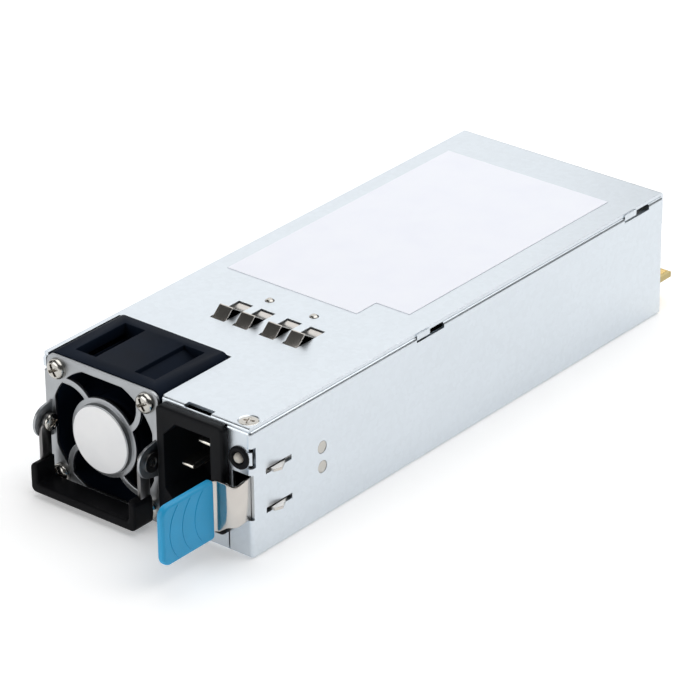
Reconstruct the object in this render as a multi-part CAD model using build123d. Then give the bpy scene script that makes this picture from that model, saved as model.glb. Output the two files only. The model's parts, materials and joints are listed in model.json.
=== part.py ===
from build123d import *
import math
import os

# Driving sizes of the casing, in millimetres, from the front left bottom corner
case_width = 73.5
case_length = 185.0
case_height = 39.0
sheet = 1.0
bend_radius = 1.2
lip_width = 5.0
cover_inset = 0.5
seat = 0.1
play = 0.05

# Fan, its sizes shares of the frame
fan_size = 40.0
fan_depth = 28.0
fan_gap = 1.2
fan_flange_front = 4.5
fan_flange_rear = 3.6
fan_corner_radius = 2.5
fan_duct_radius = fan_size * 0.475
fan_band_half = fan_size * 0.175
fan_column = fan_size * 0.14
fan_screw_spacing = fan_size * 0.8
fan_screw_radius = 1.7
fan_head_radius = 3.0
fan_head_height = 2.1
hub_radius = fan_size * 0.27
hub_wall = 1.0
blade_count = 7
blade_gap = 0.6
shaft_radius = 1.5

# Guard
guard_sheet = 1.0
guard_margin = 0.3
guard_opening_radius = fan_size * 0.475
guard_opening_half = fan_size * 0.44
guard_ring_radius = fan_size * 0.29
guard_boss_radius = fan_size * 0.2525
guard_boss_height = 1.5
guard_strut_width = 1.7
guard_strut_radius = fan_size * 0.2175
disk_radius = fan_size * 0.2425
disk_thickness = 0.15

# Handle
ear_sheet = 0.8
ear_radius = 4.8
ear_base_half = 5.35
pivot_y = -3.6
pivot_radius = 1.3
pivot_head_radius = 2.5
pivot_nut_radius = 2.9
arm_sheet = 1.2
arm_front = -7.2
arm_end_z = 3.4
arm_round = 3.0
grip_wall = 2.4
grip_bottom = 1.4
grip_bar = 2.8
grip_top = 10.4
grip_front = -10.6

# Inlet, light and latch
bezel_bottom = 5.4
bezel_depth = 2.5
bezel_side_gap = 7.8
bezel_top_gap = 1.5
inlet_chamfer = 4.2
inlet_cavity = 15.5
inlet_depth = 21.0
light_radius = 3.3
light_bore = 1.55
latch_sheet = 0.8
latch_width = 12.5
latch_root_y = 33.0
latch_hinge_y = 26.0
latch_wing_reach = 2.25
latch_jog_y = -5.1
latch_jog = 6.2
latch_flare_low = 2.1
latch_flare_high = 0.9
latch_flare_round = 2.2
latch_lean = 0.7
tab_thickness = 2.4
tab_drop = 5.1
tab_front = -27.1
rivet_y = 28.9
rivet_radius = 1.6

# Cover details
window_xs = (24.7, 32.7, 42.2, 50.4)
window_width = 5.2
window_front = 42.9
window_rear = 55.4
contact_sheet = 0.35
contact_width = 4.7
contact_ridge_y = 47.1
contact_rise = 2.4
contact_rivet_xs = (28.7, 44.6)
contact_rivet_y = 60.6
hook_front = 69.5
hook_slot = 12.0
hook_length = 5.8
cover_screw_y = 3.9
cover_screw_radius = 3.0
label_left = 6.0
label_front = 69.0
label_step = 8.5
label_thickness = 0.12

# Board and what stands on it
board_bottom = 7.5
board_thickness = 1.6
board_left = 2.0
board_front = 34.5
card_left = 5.0
card_reach = 12.8
finger_pitch = 2.5
finger_width = 1.7
panel_gap = 0.4
hex_flat = 4.2
hex_pitch = 5.0
hex_low = 15.0

# Places that follow from the sizes above
wall_right = case_width - sheet
chassis_height = case_height - sheet
chassis_length = case_length - sheet
through_top = chassis_height - 2 * sheet
fan_x = sheet + fan_gap + fan_size / 2
fan_z = fan_size / 2
fan_left = fan_x - fan_size / 2
fan_right = fan_x + fan_size / 2
fan_cut_left = fan_left - guard_margin
fan_cut_right = fan_right + 0.4
fan_cut_rear = fan_depth + 0.5
guard_front = -guard_sheet
ear_x = fan_left + 0.7
pivot_z = fan_z + 0.3
arm_radius = guard_front - pivot_y - seat
grip_rear = guard_front - fan_head_height - 3 * seat
bezel_left = fan_right + 0.2
bezel_right = case_width - bezel_side_gap
bezel_top = case_height - bezel_top_gap
bezel_width = bezel_right - bezel_left
bezel_height = bezel_top - bezel_bottom
inlet_x = (bezel_left + bezel_right) / 2 - bezel_width * 0.028
inlet_z = (bezel_bottom + bezel_top) / 2 - 0.05
inlet_width = bezel_width * 0.704
inlet_height = bezel_height * 0.763
inlet_shell_x = inlet_width / 2 + bezel_width * 0.077
inlet_shell_z = inlet_height / 2 + 1.75
light_x = case_width - 3.9
light_z = case_height - 9.4
latch_high = light_z - 5.0
latch_low = latch_high - latch_width
rivet_zs = (latch_low + 3.6, latch_low + 9.5)
hook_ys = (hook_front, case_length - 19.5)
cover_screw_x = case_width - 3.8
board_top = board_bottom + board_thickness
board_right = case_width - 2.5
board_rear = case_length - 3.5
card_right = case_width - 3.0
card_end = board_rear + card_reach
card_key = card_left + 31.8


# Helpers
def block(x0, x1, y0, y1, z0, z1):
    return Pos((x0 + x1) / 2, (y0 + y1) / 2, (z0 + z1) / 2) * Box(x1 - x0, y1 - y0, z1 - z0)


def rod_x(radius, x0, x1, y, z):
    return Pos((x0 + x1) / 2, y, z) * Rot(0, 90, 0) * Cylinder(radius, x1 - x0)


def rod_y(radius, x, y0, y1, z):
    return Pos(x, (y0 + y1) / 2, z) * Rot(90, 0, 0) * Cylinder(radius, y1 - y0)


def rod_z(radius, x, y, z0, z1):
    return Pos(x, y, (z0 + z1) / 2) * Cylinder(radius, z1 - z0)


def plate_y(face, y0, y1):
    # A flat drawing whose x and y are the part's X and Z, made into a plate from y0 to y1
    return Pos(0, y1, 0) * Rot(90, 0, 0) * extrude(face, y1 - y0)


def plate_x(points, x0, x1):
    # Corner points in Y and Z, made into a plate from x0 to x1
    face = make_face(Polyline(*[(x0, y, z) for y, z in points], close=True))
    return extrude(face, x1 - x0, dir=(1, 0, 0))


def plate_z(points, z0, z1):
    # Corner points in X and Y, made into a plate from z0 to z1
    face = make_face(Polyline(*[(x, y, z0) for x, y in points], close=True))
    return extrude(face, z1 - z0, dir=(0, 0, 1))


def edges_along(shape, axis):
    return shape.edges().filter_by(axis)


def near(shape_edges, x=None, y=None, z=None, reach=0.05):
    found = []
    for edge in shape_edges:
        middle = edge.center()
        fits = x is None or abs(middle.X - x) < reach
        fits = fits and (y is None or abs(middle.Y - y) < reach)
        fits = fits and (z is None or abs(middle.Z - z) < reach)
        if fits:
            found.append(edge)
    return found


# Casing
def make_chassis():
    body = block(0, case_width, 0, chassis_length, 0, chassis_height)
    body = fillet(near(edges_along(body, Axis.Z), x=case_width, y=0), bend_radius)
    body = fillet(edges_along(body, Axis.Y), bend_radius)
    body -= block(sheet, wall_right, sheet, chassis_length + 1, sheet, chassis_height - sheet)
    body -= block(lip_width, case_width - lip_width, sheet, chassis_length + 1, through_top, case_height)
    body -= block(sheet, fan_cut_right + 0.3, -1, sheet + 0.01, sheet, case_height)
    body -= block(fan_cut_left, fan_cut_right, -1, fan_cut_rear, -1, case_height)
    body -= block(fan_cut_right, bezel_right - 0.7, -1, sheet, bezel_top - 0.3, case_height)
    body -= block(fan_cut_right, case_width - lip_width - 2, sheet - 0.01, 9, through_top, case_height)
    body -= block(-1, sheet + 0.5, -1, 0.8, -1, chassis_height - 3.5)
    body -= block(bezel_right - 0.7, bezel_right - 0.2, -1, sheet, sheet - 1.5, case_height)
    wide = inlet_shell_x + 0.15
    high = inlet_shell_z + 0.15
    body -= block(inlet_x - wide, inlet_x + wide, -1, sheet + 1, inlet_z - high, inlet_z + high)
    body -= block(case_width - 6.4, case_width + 1, -1, sheet, latch_low - 0.5, latch_high + 0.5)
    body -= rod_y(light_radius - 0.7, light_x, -1, sheet + 1, light_z)
    for low in (latch_low - 0.4, latch_high - latch_sheet - 0.4):
        body -= block(wall_right - 0.5, case_width + 1, 5.8, 16.3, low, low + latch_sheet + 0.8)
    body -= block(wall_right - 0.5, case_width + 1, 0.7, 2.0, light_z - 2.6, light_z + 3.4)
    for low in (light_z - 2.6, light_z + 2.3):
        body -= block(wall_right - 0.5, case_width + 1, -1, 2.0, low, low + 1.1)
    for y in hook_ys:
        for x0, x1 in ((wall_right - 2.2, case_width + 1), (-1, sheet + 2.2)):
            body -= block(x0, x1, y, y + hook_slot, chassis_height - 1.7, case_height)
    for z in rivet_zs:
        body -= rod_x(rivet_radius + 0.25, wall_right - 1, case_width + 1, rivet_y, z)
    body -= rod_z(1.3, cover_screw_x, cover_screw_y, through_top, case_height)
    return body


def make_cover():
    right = case_width - cover_inset
    body = block(cover_inset, right, 0, case_length, chassis_height, case_height)
    body += block(cover_inset, right, chassis_length, case_length, case_height - 10, case_height)
    body = fillet(near(edges_along(body, Axis.X), y=case_length, z=case_height), sheet * 0.9)
    body -= block(fan_cut_left, fan_cut_right, -1, fan_cut_rear, through_top, case_height + 1)
    body -= block(fan_cut_right - 0.1, fan_cut_right + 0.4, -1, sheet, through_top, case_height + 1)
    lip_left = fan_cut_right + 0.4
    lip_right = bezel_right - 1.1
    body += block(lip_left, lip_right, 0, sheet, bezel_top - 0.1, case_height)
    body = fillet(near(edges_along(body, Axis.X), x=(lip_left + right) / 2, y=0, z=case_height, reach=3), 0.8)
    slot_left = inlet_x - bezel_width * 0.12
    slot_right = inlet_x + bezel_width * 0.275
    body -= block(slot_left, slot_right, sheet / 2, 2.2, through_top, case_height + 1)
    body -= block(slot_left, slot_right, -1, 2.2, chassis_height + 0.2, case_height + 1)
    for x in window_xs:
        half = window_width / 2
        body -= block(x - half, x + half, window_front, window_rear, through_top, case_height + 1)
    for x in contact_rivet_xs:
        body -= rod_z(0.85, x, contact_rivet_y, through_top, case_height + 1)
    sink = Cone(1.6, cover_screw_radius, sheet)
    body -= Pos(cover_screw_x, cover_screw_y, case_height - sheet / 2) * sink
    for y in hook_ys:
        for x0, x1 in ((wall_right - 1.0, case_width - 0.1), (0.1, sheet + 1.0)):
            body += block(x0, x1, y + 0.2, y + hook_length, chassis_height - 1.1, case_height - 0.3)
    return body


def hex_rows(left, right, low, high):
    places = []
    row_step = hex_pitch * math.sqrt(3) / 2
    for row in range(int((high - low) / row_step) + 1):
        shift = hex_pitch / 2 if row % 2 else 0
        count = int((right - left - shift) // hex_pitch)
        for index in range(count):
            places.append((left + shift + (index + 0.5) * hex_pitch, low + row * row_step))
    return places


def make_rear_panel():
    face = Pos(case_width / 2, chassis_height / 2) * Rectangle(
        wall_right - sheet - 2 * seat, chassis_height - 2 * sheet - 2 * seat
    )
    slot_low = board_bottom - panel_gap
    slot_high = board_top + panel_gap
    face -= Pos((card_left + card_right) / 2, (slot_low + slot_high) / 2) * Rectangle(
        card_right - card_left + 2 * panel_gap, slot_high - slot_low
    )
    for x, z in hex_rows(6, case_width - 6, hex_low, chassis_height - 6):
        face -= Pos(x, z) * RegularPolygon(hex_flat / 2, 6, major_radius=False, rotation=30)
    return plate_y(face, chassis_length - sheet, chassis_length)


def make_label():
    right = case_width - 9.0
    corner = case_width - 20.7
    rear = case_length - 15.5
    back = label_front + label_step
    points = [(label_left, label_front), (corner, label_front), (corner, back)]
    points += [(right, back), (right, rear), (label_left, rear)]
    return plate_z(points, case_height, case_height + label_thickness)


def make_cover_screw():
    head = Pos(0, 0, -(sheet - seat) / 2) * Cone(1.55, cover_screw_radius - 0.1, sheet - seat)
    shank = rod_z(1.2, 0, 0, -6, -sheet + seat + 0.1)
    return Pos(cover_screw_x, cover_screw_y, case_height - seat / 2) * (head + shank)


def make_contact_strip(xs, rivet_x):
    top = chassis_height
    under = top - contact_sheet
    left = min(xs) - window_width / 2 - 0.6
    right = max(xs) + window_width / 2 + 0.6
    body = block(left, right, window_front - 2.4, window_front + 0.4, under, top)
    for x0, x1 in ((left, min(xs) - contact_width / 2), (max(xs) + contact_width / 2, right)):
        body += block(x0, x1, window_front, window_rear + 1, under, top)
    body += block(left, right, window_rear + 0.6, contact_rivet_y + 2.6, under, top)
    ridge = case_height + contact_rise
    for x in xs:
        path = [
            (window_front + 0.1, under),
            (contact_ridge_y - 0.2, ridge - contact_sheet),
            (contact_ridge_y + 0.3, ridge - contact_sheet),
            (51.6, case_height - 0.75),
            (54.9, case_height - 0.75),
        ]
        back = [(y, z + contact_sheet) for y, z in reversed(path)]
        finger = plate_x(path + back, x - contact_width / 2, x + contact_width / 2)
        body += finger
    return body - rod_z(0.85, rivet_x, contact_rivet_y, under - 1, top + 1)


def make_contact_rivet(x):
    dome = Pos(0, 0, 0.25) * Cone(1.4, 0.8, 0.5)
    shank = rod_z(0.8, 0, 0, -sheet - contact_sheet, 0.1)
    tail = rod_z(1.3, 0, 0, -sheet - contact_sheet - 0.5, -sheet - contact_sheet)
    return Pos(x, contact_rivet_y, case_height) * (dome + shank + tail)


# Fan
def fan_corners(spacing=None):
    half = (spacing or fan_screw_spacing) / 2
    return [(fan_x + sx * half, fan_z + sz * half) for sx in (-1, 1) for sz in (-1, 1)]


def make_fan_frame():
    outline = Pos(fan_x, fan_z) * RectangleRounded(fan_size, fan_size, fan_corner_radius)
    duct = Pos(fan_x, fan_z) * Circle(fan_duct_radius)
    middle = Pos(fan_x, fan_z) * Circle(fan_duct_radius + 0.9)
    middle += Pos(fan_x, fan_z) * Rectangle(2 * fan_band_half, fan_size)
    middle += Pos(fan_x, fan_z) * Rectangle(fan_size, 2 * fan_band_half)
    for x, z in fan_corners(fan_size - fan_column):
        middle += Pos(x, z) * Rectangle(fan_column, fan_column)
    body = plate_y(outline - duct, 0, fan_flange_front)
    body += plate_y(outline - duct, fan_depth - fan_flange_rear, fan_depth)
    body += plate_y((middle & outline) - duct, fan_flange_front, fan_depth - fan_flange_rear)
    seat_y = fan_depth - 2.4
    hub = rod_y(hub_radius, fan_x, seat_y, fan_depth, fan_z)
    for turn in (20, 110, 200, 290):
        spoke = block(hub_radius - 1, fan_duct_radius + 0.6, -1.1, 1.1, -1.0, 1.0)
        spoke = Pos(fan_x, fan_depth - 1.2, fan_z) * Rot(0, turn, 0) * spoke
        hub += spoke
    tube = rod_y(3.4, fan_x, 7, seat_y + 0.1, fan_z)
    body += hub + tube
    body -= rod_y(2.6, fan_x, 6, fan_depth - 1.0, fan_z)
    for x, z in fan_corners():
        body -= rod_y(fan_screw_radius + play, x, -1, fan_depth + 1, z)
    return body


def make_fan_stator():
    shoe_radius = hub_radius - hub_wall - 1.0
    core = rod_y(shoe_radius * 0.59, fan_x, 11.0, 17.0, fan_z)
    for turn in (0, 60, 120):
        arm = block(-shoe_radius + 0.8, shoe_radius - 0.8, -3.0, 3.0, -1.2, 1.2)
        core += Pos(fan_x, 14.0, fan_z) * Rot(0, turn, 0) * arm
    shoe = rod_y(shoe_radius, fan_x, 11.0, 17.0, fan_z)
    shoe -= rod_y(shoe_radius - 1.1, fan_x, 10.0, 18.0, fan_z)
    for turn in (30, 90, 150):
        gap = block(-hub_radius, hub_radius, -4, 4, -1.0, 1.0)
        shoe -= Pos(fan_x, 14.0, fan_z) * Rot(0, turn, 0) * gap
    return core + shoe - rod_y(3.4 + play, fan_x, 10, 18, fan_z)


def make_fan_bearings():
    front = rod_y(2.6 - play, fan_x, 7.4, 10.9, fan_z)
    rear = rod_y(2.6 - play, fan_x, 19.4, 22.9, fan_z)
    bore = rod_y(shaft_radius + play, fan_x, 6, 24, fan_z)
    return (front + rear) - bore


def blade_section(radius, chord, pitch, thickness):
    plane = Plane(origin=(radius, 0, 0), x_dir=(0, 1, 0), z_dir=(1, 0, 0))
    lean = math.radians(pitch)
    half = chord / 2
    crest = chord * 0.09
    along = Vector(math.cos(lean), math.sin(lean))
    across = Vector(-math.sin(lean), math.cos(lean))
    tips = [along * -half, along * half]
    outer = across * (crest + thickness / 2)
    inner = across * (crest - thickness / 2)
    over = ThreePointArc(tips[0], outer, tips[1])
    under = ThreePointArc(tips[1], inner, tips[0])
    return plane * make_face([over, under])


def make_fan_rotor():
    front = 2.2
    rear = 23.6
    body = rod_y(hub_radius, fan_x, front, rear, fan_z)
    body = fillet(near(body.edges().filter_by(GeomType.CIRCLE), y=front), 1.0)
    body -= rod_y(hub_radius - hub_wall, fan_x, front + 1.6, rear + 1, fan_z)
    body += rod_y(2.4, fan_x, front + 1, front + 4.6, fan_z)
    body -= rod_y(shaft_radius, fan_x, front + 0.8, rear, fan_z)
    tip = fan_duct_radius - blade_gap
    root = hub_radius - hub_wall / 2
    sections = [
        blade_section(root, 15.5, 52, 1.9),
        blade_section((root + tip) / 2, 15.5, 44, 1.5),
        blade_section(tip + 0.5, 15.0, 36, 1.2),
    ]
    blade = loft(sections)
    turned = Rot(-90, 0, 0) * blade
    room = rod_y(tip, fan_x, front, rear, fan_z)
    for index in range(blade_count):
        place = Pos(fan_x, 13.0, fan_z) * Rot(0, index * 360 / blade_count, 0)
        body += (place * turned) & room
    return body


def make_fan_shaft():
    return rod_y(shaft_radius, fan_x, 3.0, 24.6, fan_z)


def make_fan_screws():
    screws = []
    for x, z in fan_corners():
        head = rod_y(fan_head_radius, x, guard_front - fan_head_height, guard_front, z)
        rim = near(head.edges().filter_by(GeomType.CIRCLE), y=guard_front - fan_head_height)
        head = fillet(rim, 1.2)
        screws.append(head + rod_y(fan_screw_radius, x, guard_front, 12, z))
    return Compound(screws)


def guard_strut():
    centre_x = fan_size * 0.3125
    centre_z = fan_size * 0.3225 - guard_strut_radius
    half = guard_strut_width / 2
    ring = Circle(guard_strut_radius + half) - Circle(guard_strut_radius - half)
    reach = 2 * guard_strut_radius
    ring &= Pos(reach / 2, reach / 2) * Rectangle(reach, reach)
    foot = guard_strut_radius * 0.37
    ring += Pos(0.1 - foot / 2, guard_strut_radius) * Rectangle(foot, guard_strut_width)
    return Pos(-centre_x, centre_z) * ring


def ear_outline():
    # Lobe of an ear in Y and Z: straight flanks from the guard, running smoothly into the round end
    away = guard_front - pivot_y
    turn = math.atan2(ear_base_half, away) + math.acos(ear_radius / math.hypot(away, ear_base_half))
    touch_y = pivot_y + ear_radius * math.cos(turn)
    touch_z = ear_radius * math.sin(turn)
    points = [(guard_front + 0.5, pivot_z - ear_base_half), (guard_front + 0.5, pivot_z + ear_base_half)]
    points += [(guard_front, pivot_z + ear_base_half), (touch_y, pivot_z + touch_z)]
    points += [(touch_y, pivot_z - touch_z), (guard_front, pivot_z - ear_base_half)]
    return points


def ear_lefts():
    return ear_x, 2 * fan_x - ear_x - ear_sheet


def make_guard():
    low = guard_margin
    high = fan_size - guard_margin
    centre = Pos(fan_x, fan_z)
    outline = Pos(fan_x, (low + high) / 2) * RectangleRounded(fan_size, high - low, 2.6)
    opening = Circle(guard_opening_radius) & RectangleRounded(
        2 * guard_opening_half, 2 * guard_opening_half, 2.0
    )
    opening -= Circle(guard_ring_radius)
    for turn in (0, 90, 180, 270):
        opening -= Rot(0, 0, turn) * guard_strut()
    face = outline - centre * opening
    for x, z in fan_corners():
        face -= Pos(x, z) * Circle(fan_screw_radius + 0.2)
    relief = 2 * pivot_nut_radius + 1
    for x in (ear_x - 2, 2 * fan_x - ear_x + 2):
        face -= Pos(x, pivot_z) * Rectangle(4, relief)
    body = plate_y(face, guard_front, 0)
    body += rod_y(guard_boss_radius, fan_x, guard_front - guard_boss_height, guard_front, fan_z)
    body -= rod_y(guard_boss_radius - 1.0, fan_x, guard_front, 1, fan_z)
    for x in ear_lefts():
        ear = rod_x(ear_radius, x, x + ear_sheet, pivot_y, pivot_z)
        ear &= block(x, x + ear_sheet, pivot_y - 2 * ear_radius, guard_front + 0.5, 0, fan_size)
        ear += plate_x(ear_outline(), x, x + ear_sheet)
        body += ear - rod_x(pivot_radius + play, x - 1, x + 2, pivot_y, pivot_z)
    left = sheet
    low = fan_size * 0.15
    high = fan_size * 0.85
    flange = block(left, fan_left + 1, guard_front + 0.2, 0, low, high)
    flange -= block(left + ear_sheet, ear_x, guard_front, 1, pivot_z - relief / 2, pivot_z + relief / 2)
    body += flange
    body += block(left, left + ear_sheet, -0.1, 14, low, high)
    return body


def make_disk():
    front = guard_front - guard_boss_height
    return rod_y(disk_radius, fan_x, front - disk_thickness, front, fan_z)


# Handle
def arm_lefts():
    left = ear_x + ear_sheet + seat
    return left, 2 * fan_x - left - arm_sheet


def make_arm(x0):
    x1 = x0 + arm_sheet
    strip = block(x0, x1, arm_front, grip_rear, arm_end_z, pivot_z + 1.0)
    strip = fillet(near(edges_along(strip, Axis.X), y=arm_front, z=pivot_z + 1.0), arm_round)
    body = strip + rod_x(arm_radius, x0, x1, pivot_y, pivot_z)
    return body - rod_x(pivot_radius + play, x0 - 1, x1 + 1, pivot_y, pivot_z)


def make_grip():
    left = arm_lefts()[0] - 0.6
    right = 2 * fan_x - left
    face = Pos(fan_x, (grip_bottom + grip_top) / 2) * RectangleRounded(
        right - left, grip_top - grip_bottom, 1.8
    )
    hollow_high = 2 * (grip_top - grip_bottom)
    hollow = Pos(fan_x, grip_bottom + grip_bar + hollow_high / 2) * RectangleRounded(
        right - left - 2 * grip_wall, hollow_high, 1.2
    )
    body = plate_y(face - hollow, grip_front, grip_rear)
    outer = [e for e in body.edges() if abs(e.center().Y - grip_front) < 0.01]
    body = fillet(outer, 0.7)
    for x in arm_lefts():
        body -= block(x, x + arm_sheet, arm_front, grip_rear + 1, arm_end_z, grip_top + 1)
    return body


def make_pivot_screws():
    screws = []
    left, right = arm_lefts()
    for side, inner in ((-1, left + arm_sheet + seat), (1, right - seat)):
        outward = inner + side * (arm_sheet + 2 * seat + ear_sheet + 0.5)
        a, b = sorted((inner, outward))
        shank = rod_x(pivot_radius, a, b, pivot_y, pivot_z)
        a, b = sorted((inner, inner - side * 1.1))
        head = rod_x(pivot_head_radius, a, b, pivot_y, pivot_z)
        head = fillet(near(head.edges().filter_by(GeomType.CIRCLE), x=inner - side * 1.1), 0.7)
        screws.append(shank + head)
    return Compound(screws)


def make_pivot_nuts():
    nuts = []
    for x0 in (ear_x - 0.7, 2 * fan_x - ear_x):
        ring = rod_x(pivot_nut_radius, x0, x0 + 0.7, pivot_y, pivot_z)
        nuts.append(ring - rod_x(pivot_radius + play, x0 - 1, x0 + 2, pivot_y, pivot_z))
    return Compound(nuts)


# Inlet and light
def inlet_face(grow):
    half_w = inlet_width / 2 + grow
    half_h = inlet_height / 2 + grow
    cut = inlet_chamfer + grow * 0.4
    points = [
        (-half_w, -half_h + cut),
        (-half_w + cut, -half_h),
        (half_w, -half_h),
        (half_w, half_h),
        (-half_w + cut, half_h),
        (-half_w, half_h - cut),
    ]
    return Pos(inlet_x, inlet_z) * make_face(Polyline(*points, close=True))


def make_inlet():
    face = Pos((bezel_left + bezel_right) / 2, (bezel_bottom + bezel_top) / 2) * RectangleRounded(
        bezel_width, bezel_height, 1.6
    )
    bezel = plate_y(face, -bezel_depth, 0)
    bezel = fillet([e for e in bezel.edges() if abs(e.center().Y + bezel_depth) < 0.01], 0.8)
    wide = inlet_shell_x
    high = inlet_shell_z
    body = bezel + block(inlet_x - wide, inlet_x + wide, -0.1, inlet_depth, inlet_z - high, inlet_z + high)
    body -= plate_y(inlet_face(0), -bezel_depth - 1, inlet_cavity - bezel_depth)
    half = blade_width() / 2
    for x, z, tip in inlet_blades():
        body -= block(x - half, x + half, 0, inlet_depth + 1, z - 1, z + 1)
    return body


def blade_width():
    return inlet_width * 0.244


def inlet_blades():
    # Middle of each blade in X and Z, and where its tip starts
    live = inlet_x + inlet_width * 0.134
    apart = inlet_height * 0.286
    return (
        (live, inlet_z + apart, 2.0),
        (live, inlet_z - apart, 2.0),
        (live - blade_width(), inlet_z, -0.5),
    )


def make_inlet_pins():
    pins = []
    half = blade_width() / 2
    end = inlet_depth + 6
    for x, z, tip in inlet_blades():
        points = [(tip, z - 0.35), (tip + 1.6, z - 1), (end, z - 1)]
        points += [(end, z + 1), (tip + 1.6, z + 1), (tip, z + 0.35)]
        pins.append(plate_x(points, x - half, x + half))
    return Compound(pins)


def tab_middle():
    # Where the strip runs forward inside the tab, in X
    return latch_outer(latch_jog_y) - latch_jog - latch_sheet / 2


def make_light_ring():
    body = rod_y(light_radius, light_x, -0.9, 0, light_z)
    body = fillet(near(body.edges().filter_by(GeomType.CIRCLE), y=-0.9), 0.6)
    body += rod_y(light_radius - 0.7 - play, light_x, -0.1, 3.4, light_z)
    body -= Pos(light_x, -0.6, light_z) * Rot(90, 0, 0) * Cone(light_bore + 0.1, 2.2, 0.8)
    return body - rod_y(light_bore, light_x, -2, 5, light_z)


def make_light():
    body = rod_y(light_bore - play, light_x, -0.1, 4.4, light_z)
    dome = Pos(light_x, -0.1, light_z) * Sphere(light_bore - play)
    cut = block(light_x - 3, light_x + 3, -0.1, 6, light_z - 3, light_z + 3)
    return body + (dome - cut)


# Latch
def latch_outer(y):
    # Outer face of the leaf: against the wall, leaning in where it stands out at the front
    if y >= 2:
        return wall_right
    return wall_right - latch_lean * (2 - y) / (2 - latch_jog_y)


def strip_points(path, thickness):
    # Outline of a strip whose outer face follows the path, the strip lying to the right of it
    inner = []
    for index, point in enumerate(path):
        before = path[max(index - 1, 0)]
        after = path[min(index + 1, len(path) - 1)]
        dx = after[0] - before[0]
        dy = after[1] - before[1]
        size = math.hypot(dx, dy)
        inner.append((point[0] + dy / size * thickness, point[1] - dx / size * thickness))
    return list(path) + inner[::-1]


def arc_points(centre, radius, start, end, steps):
    points = []
    for step in range(steps + 1):
        angle = math.radians(start + (end - start) * step / steps)
        points.append((centre[0] + radius * math.cos(angle), centre[1] + radius * math.sin(angle)))
    return points


def make_latch_root():
    body = block(
        wall_right - latch_sheet, wall_right, latch_hinge_y + play, latch_root_y, latch_low, latch_high
    )
    for z in rivet_zs:
        body -= rod_x(rivet_radius + play, wall_right - 3, case_width, rivet_y, z)
    return body


def make_latch_spring():
    front_x = latch_outer(latch_jog_y)
    tab_x = tab_middle() + latch_sheet / 2
    path = [(wall_right, latch_hinge_y - play), (wall_right, 2.0)]
    path += arc_points((front_x - 1.4, latch_jog_y + 1.4), 1.4, -5, -90, 5)
    path += arc_points((tab_x + 1.2, latch_jog_y - 1.2), 1.2, 90, 180, 5)
    path += [(tab_x, latch_jog_y - 14)]
    body = plate_z(strip_points(path, latch_sheet), latch_low, latch_high - 1.2)
    body += plate_z(strip_points(path[:8], latch_sheet), latch_low, latch_high)
    low = latch_low - latch_flare_low
    high = latch_high + latch_flare_high
    flare = plate_z(strip_points(path[5:13], latch_sheet), low, high)
    corners = fillet(Rectangle(2 * latch_jog, high - low).vertices(), latch_flare_round)
    shape = Pos(front_x - latch_jog + 0.4, 0, (low + high) / 2) * Rot(90, 0, 0) * extrude(corners, 30)
    body += flare & shape
    for z0 in (latch_low, latch_high - latch_sheet):
        wing = [
            (wall_right - latch_sheet, 7.4),
            (case_width, 7.4),
            (case_width + 1.3, 7.6),
            (case_width + latch_wing_reach, 9.8),
            (case_width, 14.0),
            (wall_right - latch_sheet, 15.6),
        ]
        body += plate_z(wing, z0, z0 + latch_sheet)
    return body


def make_latch_tab():
    half = tab_thickness / 2
    x = tab_middle()
    body = block(x - half, x + half, tab_front, latch_jog_y - 1.5, latch_low - tab_drop, latch_high)
    front = near(edges_along(body, Axis.X), y=tab_front)
    body = fillet(front, 3.0)
    rear = near(edges_along(body, Axis.X), y=latch_jog_y - 1.5)
    body = fillet(rear, 1.2)
    sides = [e for e in body.edges() if abs(abs(e.center().X - x) - half) < 0.01]
    return fillet(sides, 0.9)


def make_latch_rivets():
    rivets = []
    for z in rivet_zs:
        inside = wall_right - latch_sheet
        body = rod_x(rivet_radius, inside - 0.1, case_width - 0.1, rivet_y, z)
        body += rod_x(2.3, inside - 0.8, inside, rivet_y, z)
        body += rod_x(rivet_radius + 0.2, wall_right + 0.3, case_width - 0.05, rivet_y, z)
        rivets.append(body)
    return Compound(rivets)


# Room over the board: what stands there is drawn in a room of the sizes below
# and keeps its share of the real one when the casing changes
drawn_wide = 69.0
drawn_long = 147.0
drawn_high = 27.9
spread_x = (board_right - board_left) / drawn_wide
spread_y = (board_rear - board_front) / drawn_long
spread_z = (chassis_height - sheet - board_top) / drawn_high


def across(x):
    return board_left + (x - 2.0) * spread_x


def along(y):
    return board_front + (y - 34.5) * spread_y


def room_block(x0, x1, y0, y1, low, high):
    # Low and high are heights over the board
    low = board_top + low * spread_z
    high = board_top + high * spread_z
    return block(across(x0), across(x1), along(y0), along(y1), low, high)


def room_rod_x(radius, x0, x1, y, height):
    grow = min(spread_y, spread_z)
    return rod_x(radius * grow, across(x0), across(x1), along(y), board_top + height * grow)


def room_rod_y(radius, x, y0, y1, height):
    grow = min(spread_x, spread_z)
    return rod_y(radius * grow, across(x), along(y0), along(y1), board_top + height * grow)


def room_rod_z(radius, x, y, low, high):
    radius = radius * min(spread_x, spread_y)
    low = board_top + low * spread_z
    high = board_top + high * spread_z
    return rod_z(radius, across(x), along(y), low, high)


# Board with its card edge
def make_board():
    body = block(board_left, board_right, board_front, board_rear, board_bottom, board_top)
    body += block(card_left, card_right, board_rear - 1, card_end, board_bottom, board_top)
    tip = [e for e in body.edges().filter_by(Axis.X) if abs(e.center().Y - card_end) < 0.01]
    body = chamfer(tip, 0.4)
    corners = [e for e in edges_along(body, Axis.Z) if abs(e.center().Y - card_end) < 0.6]
    body = chamfer(corners, 0.5) if corners else body
    body -= block(card_key - 0.8, card_key + 0.8, card_end - 7.5, card_end + 1, 0, board_top + 1)
    for x, y in standoff_places():
        body -= rod_z(1.7, x, y, 0, board_top + 1)
    return body


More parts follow.
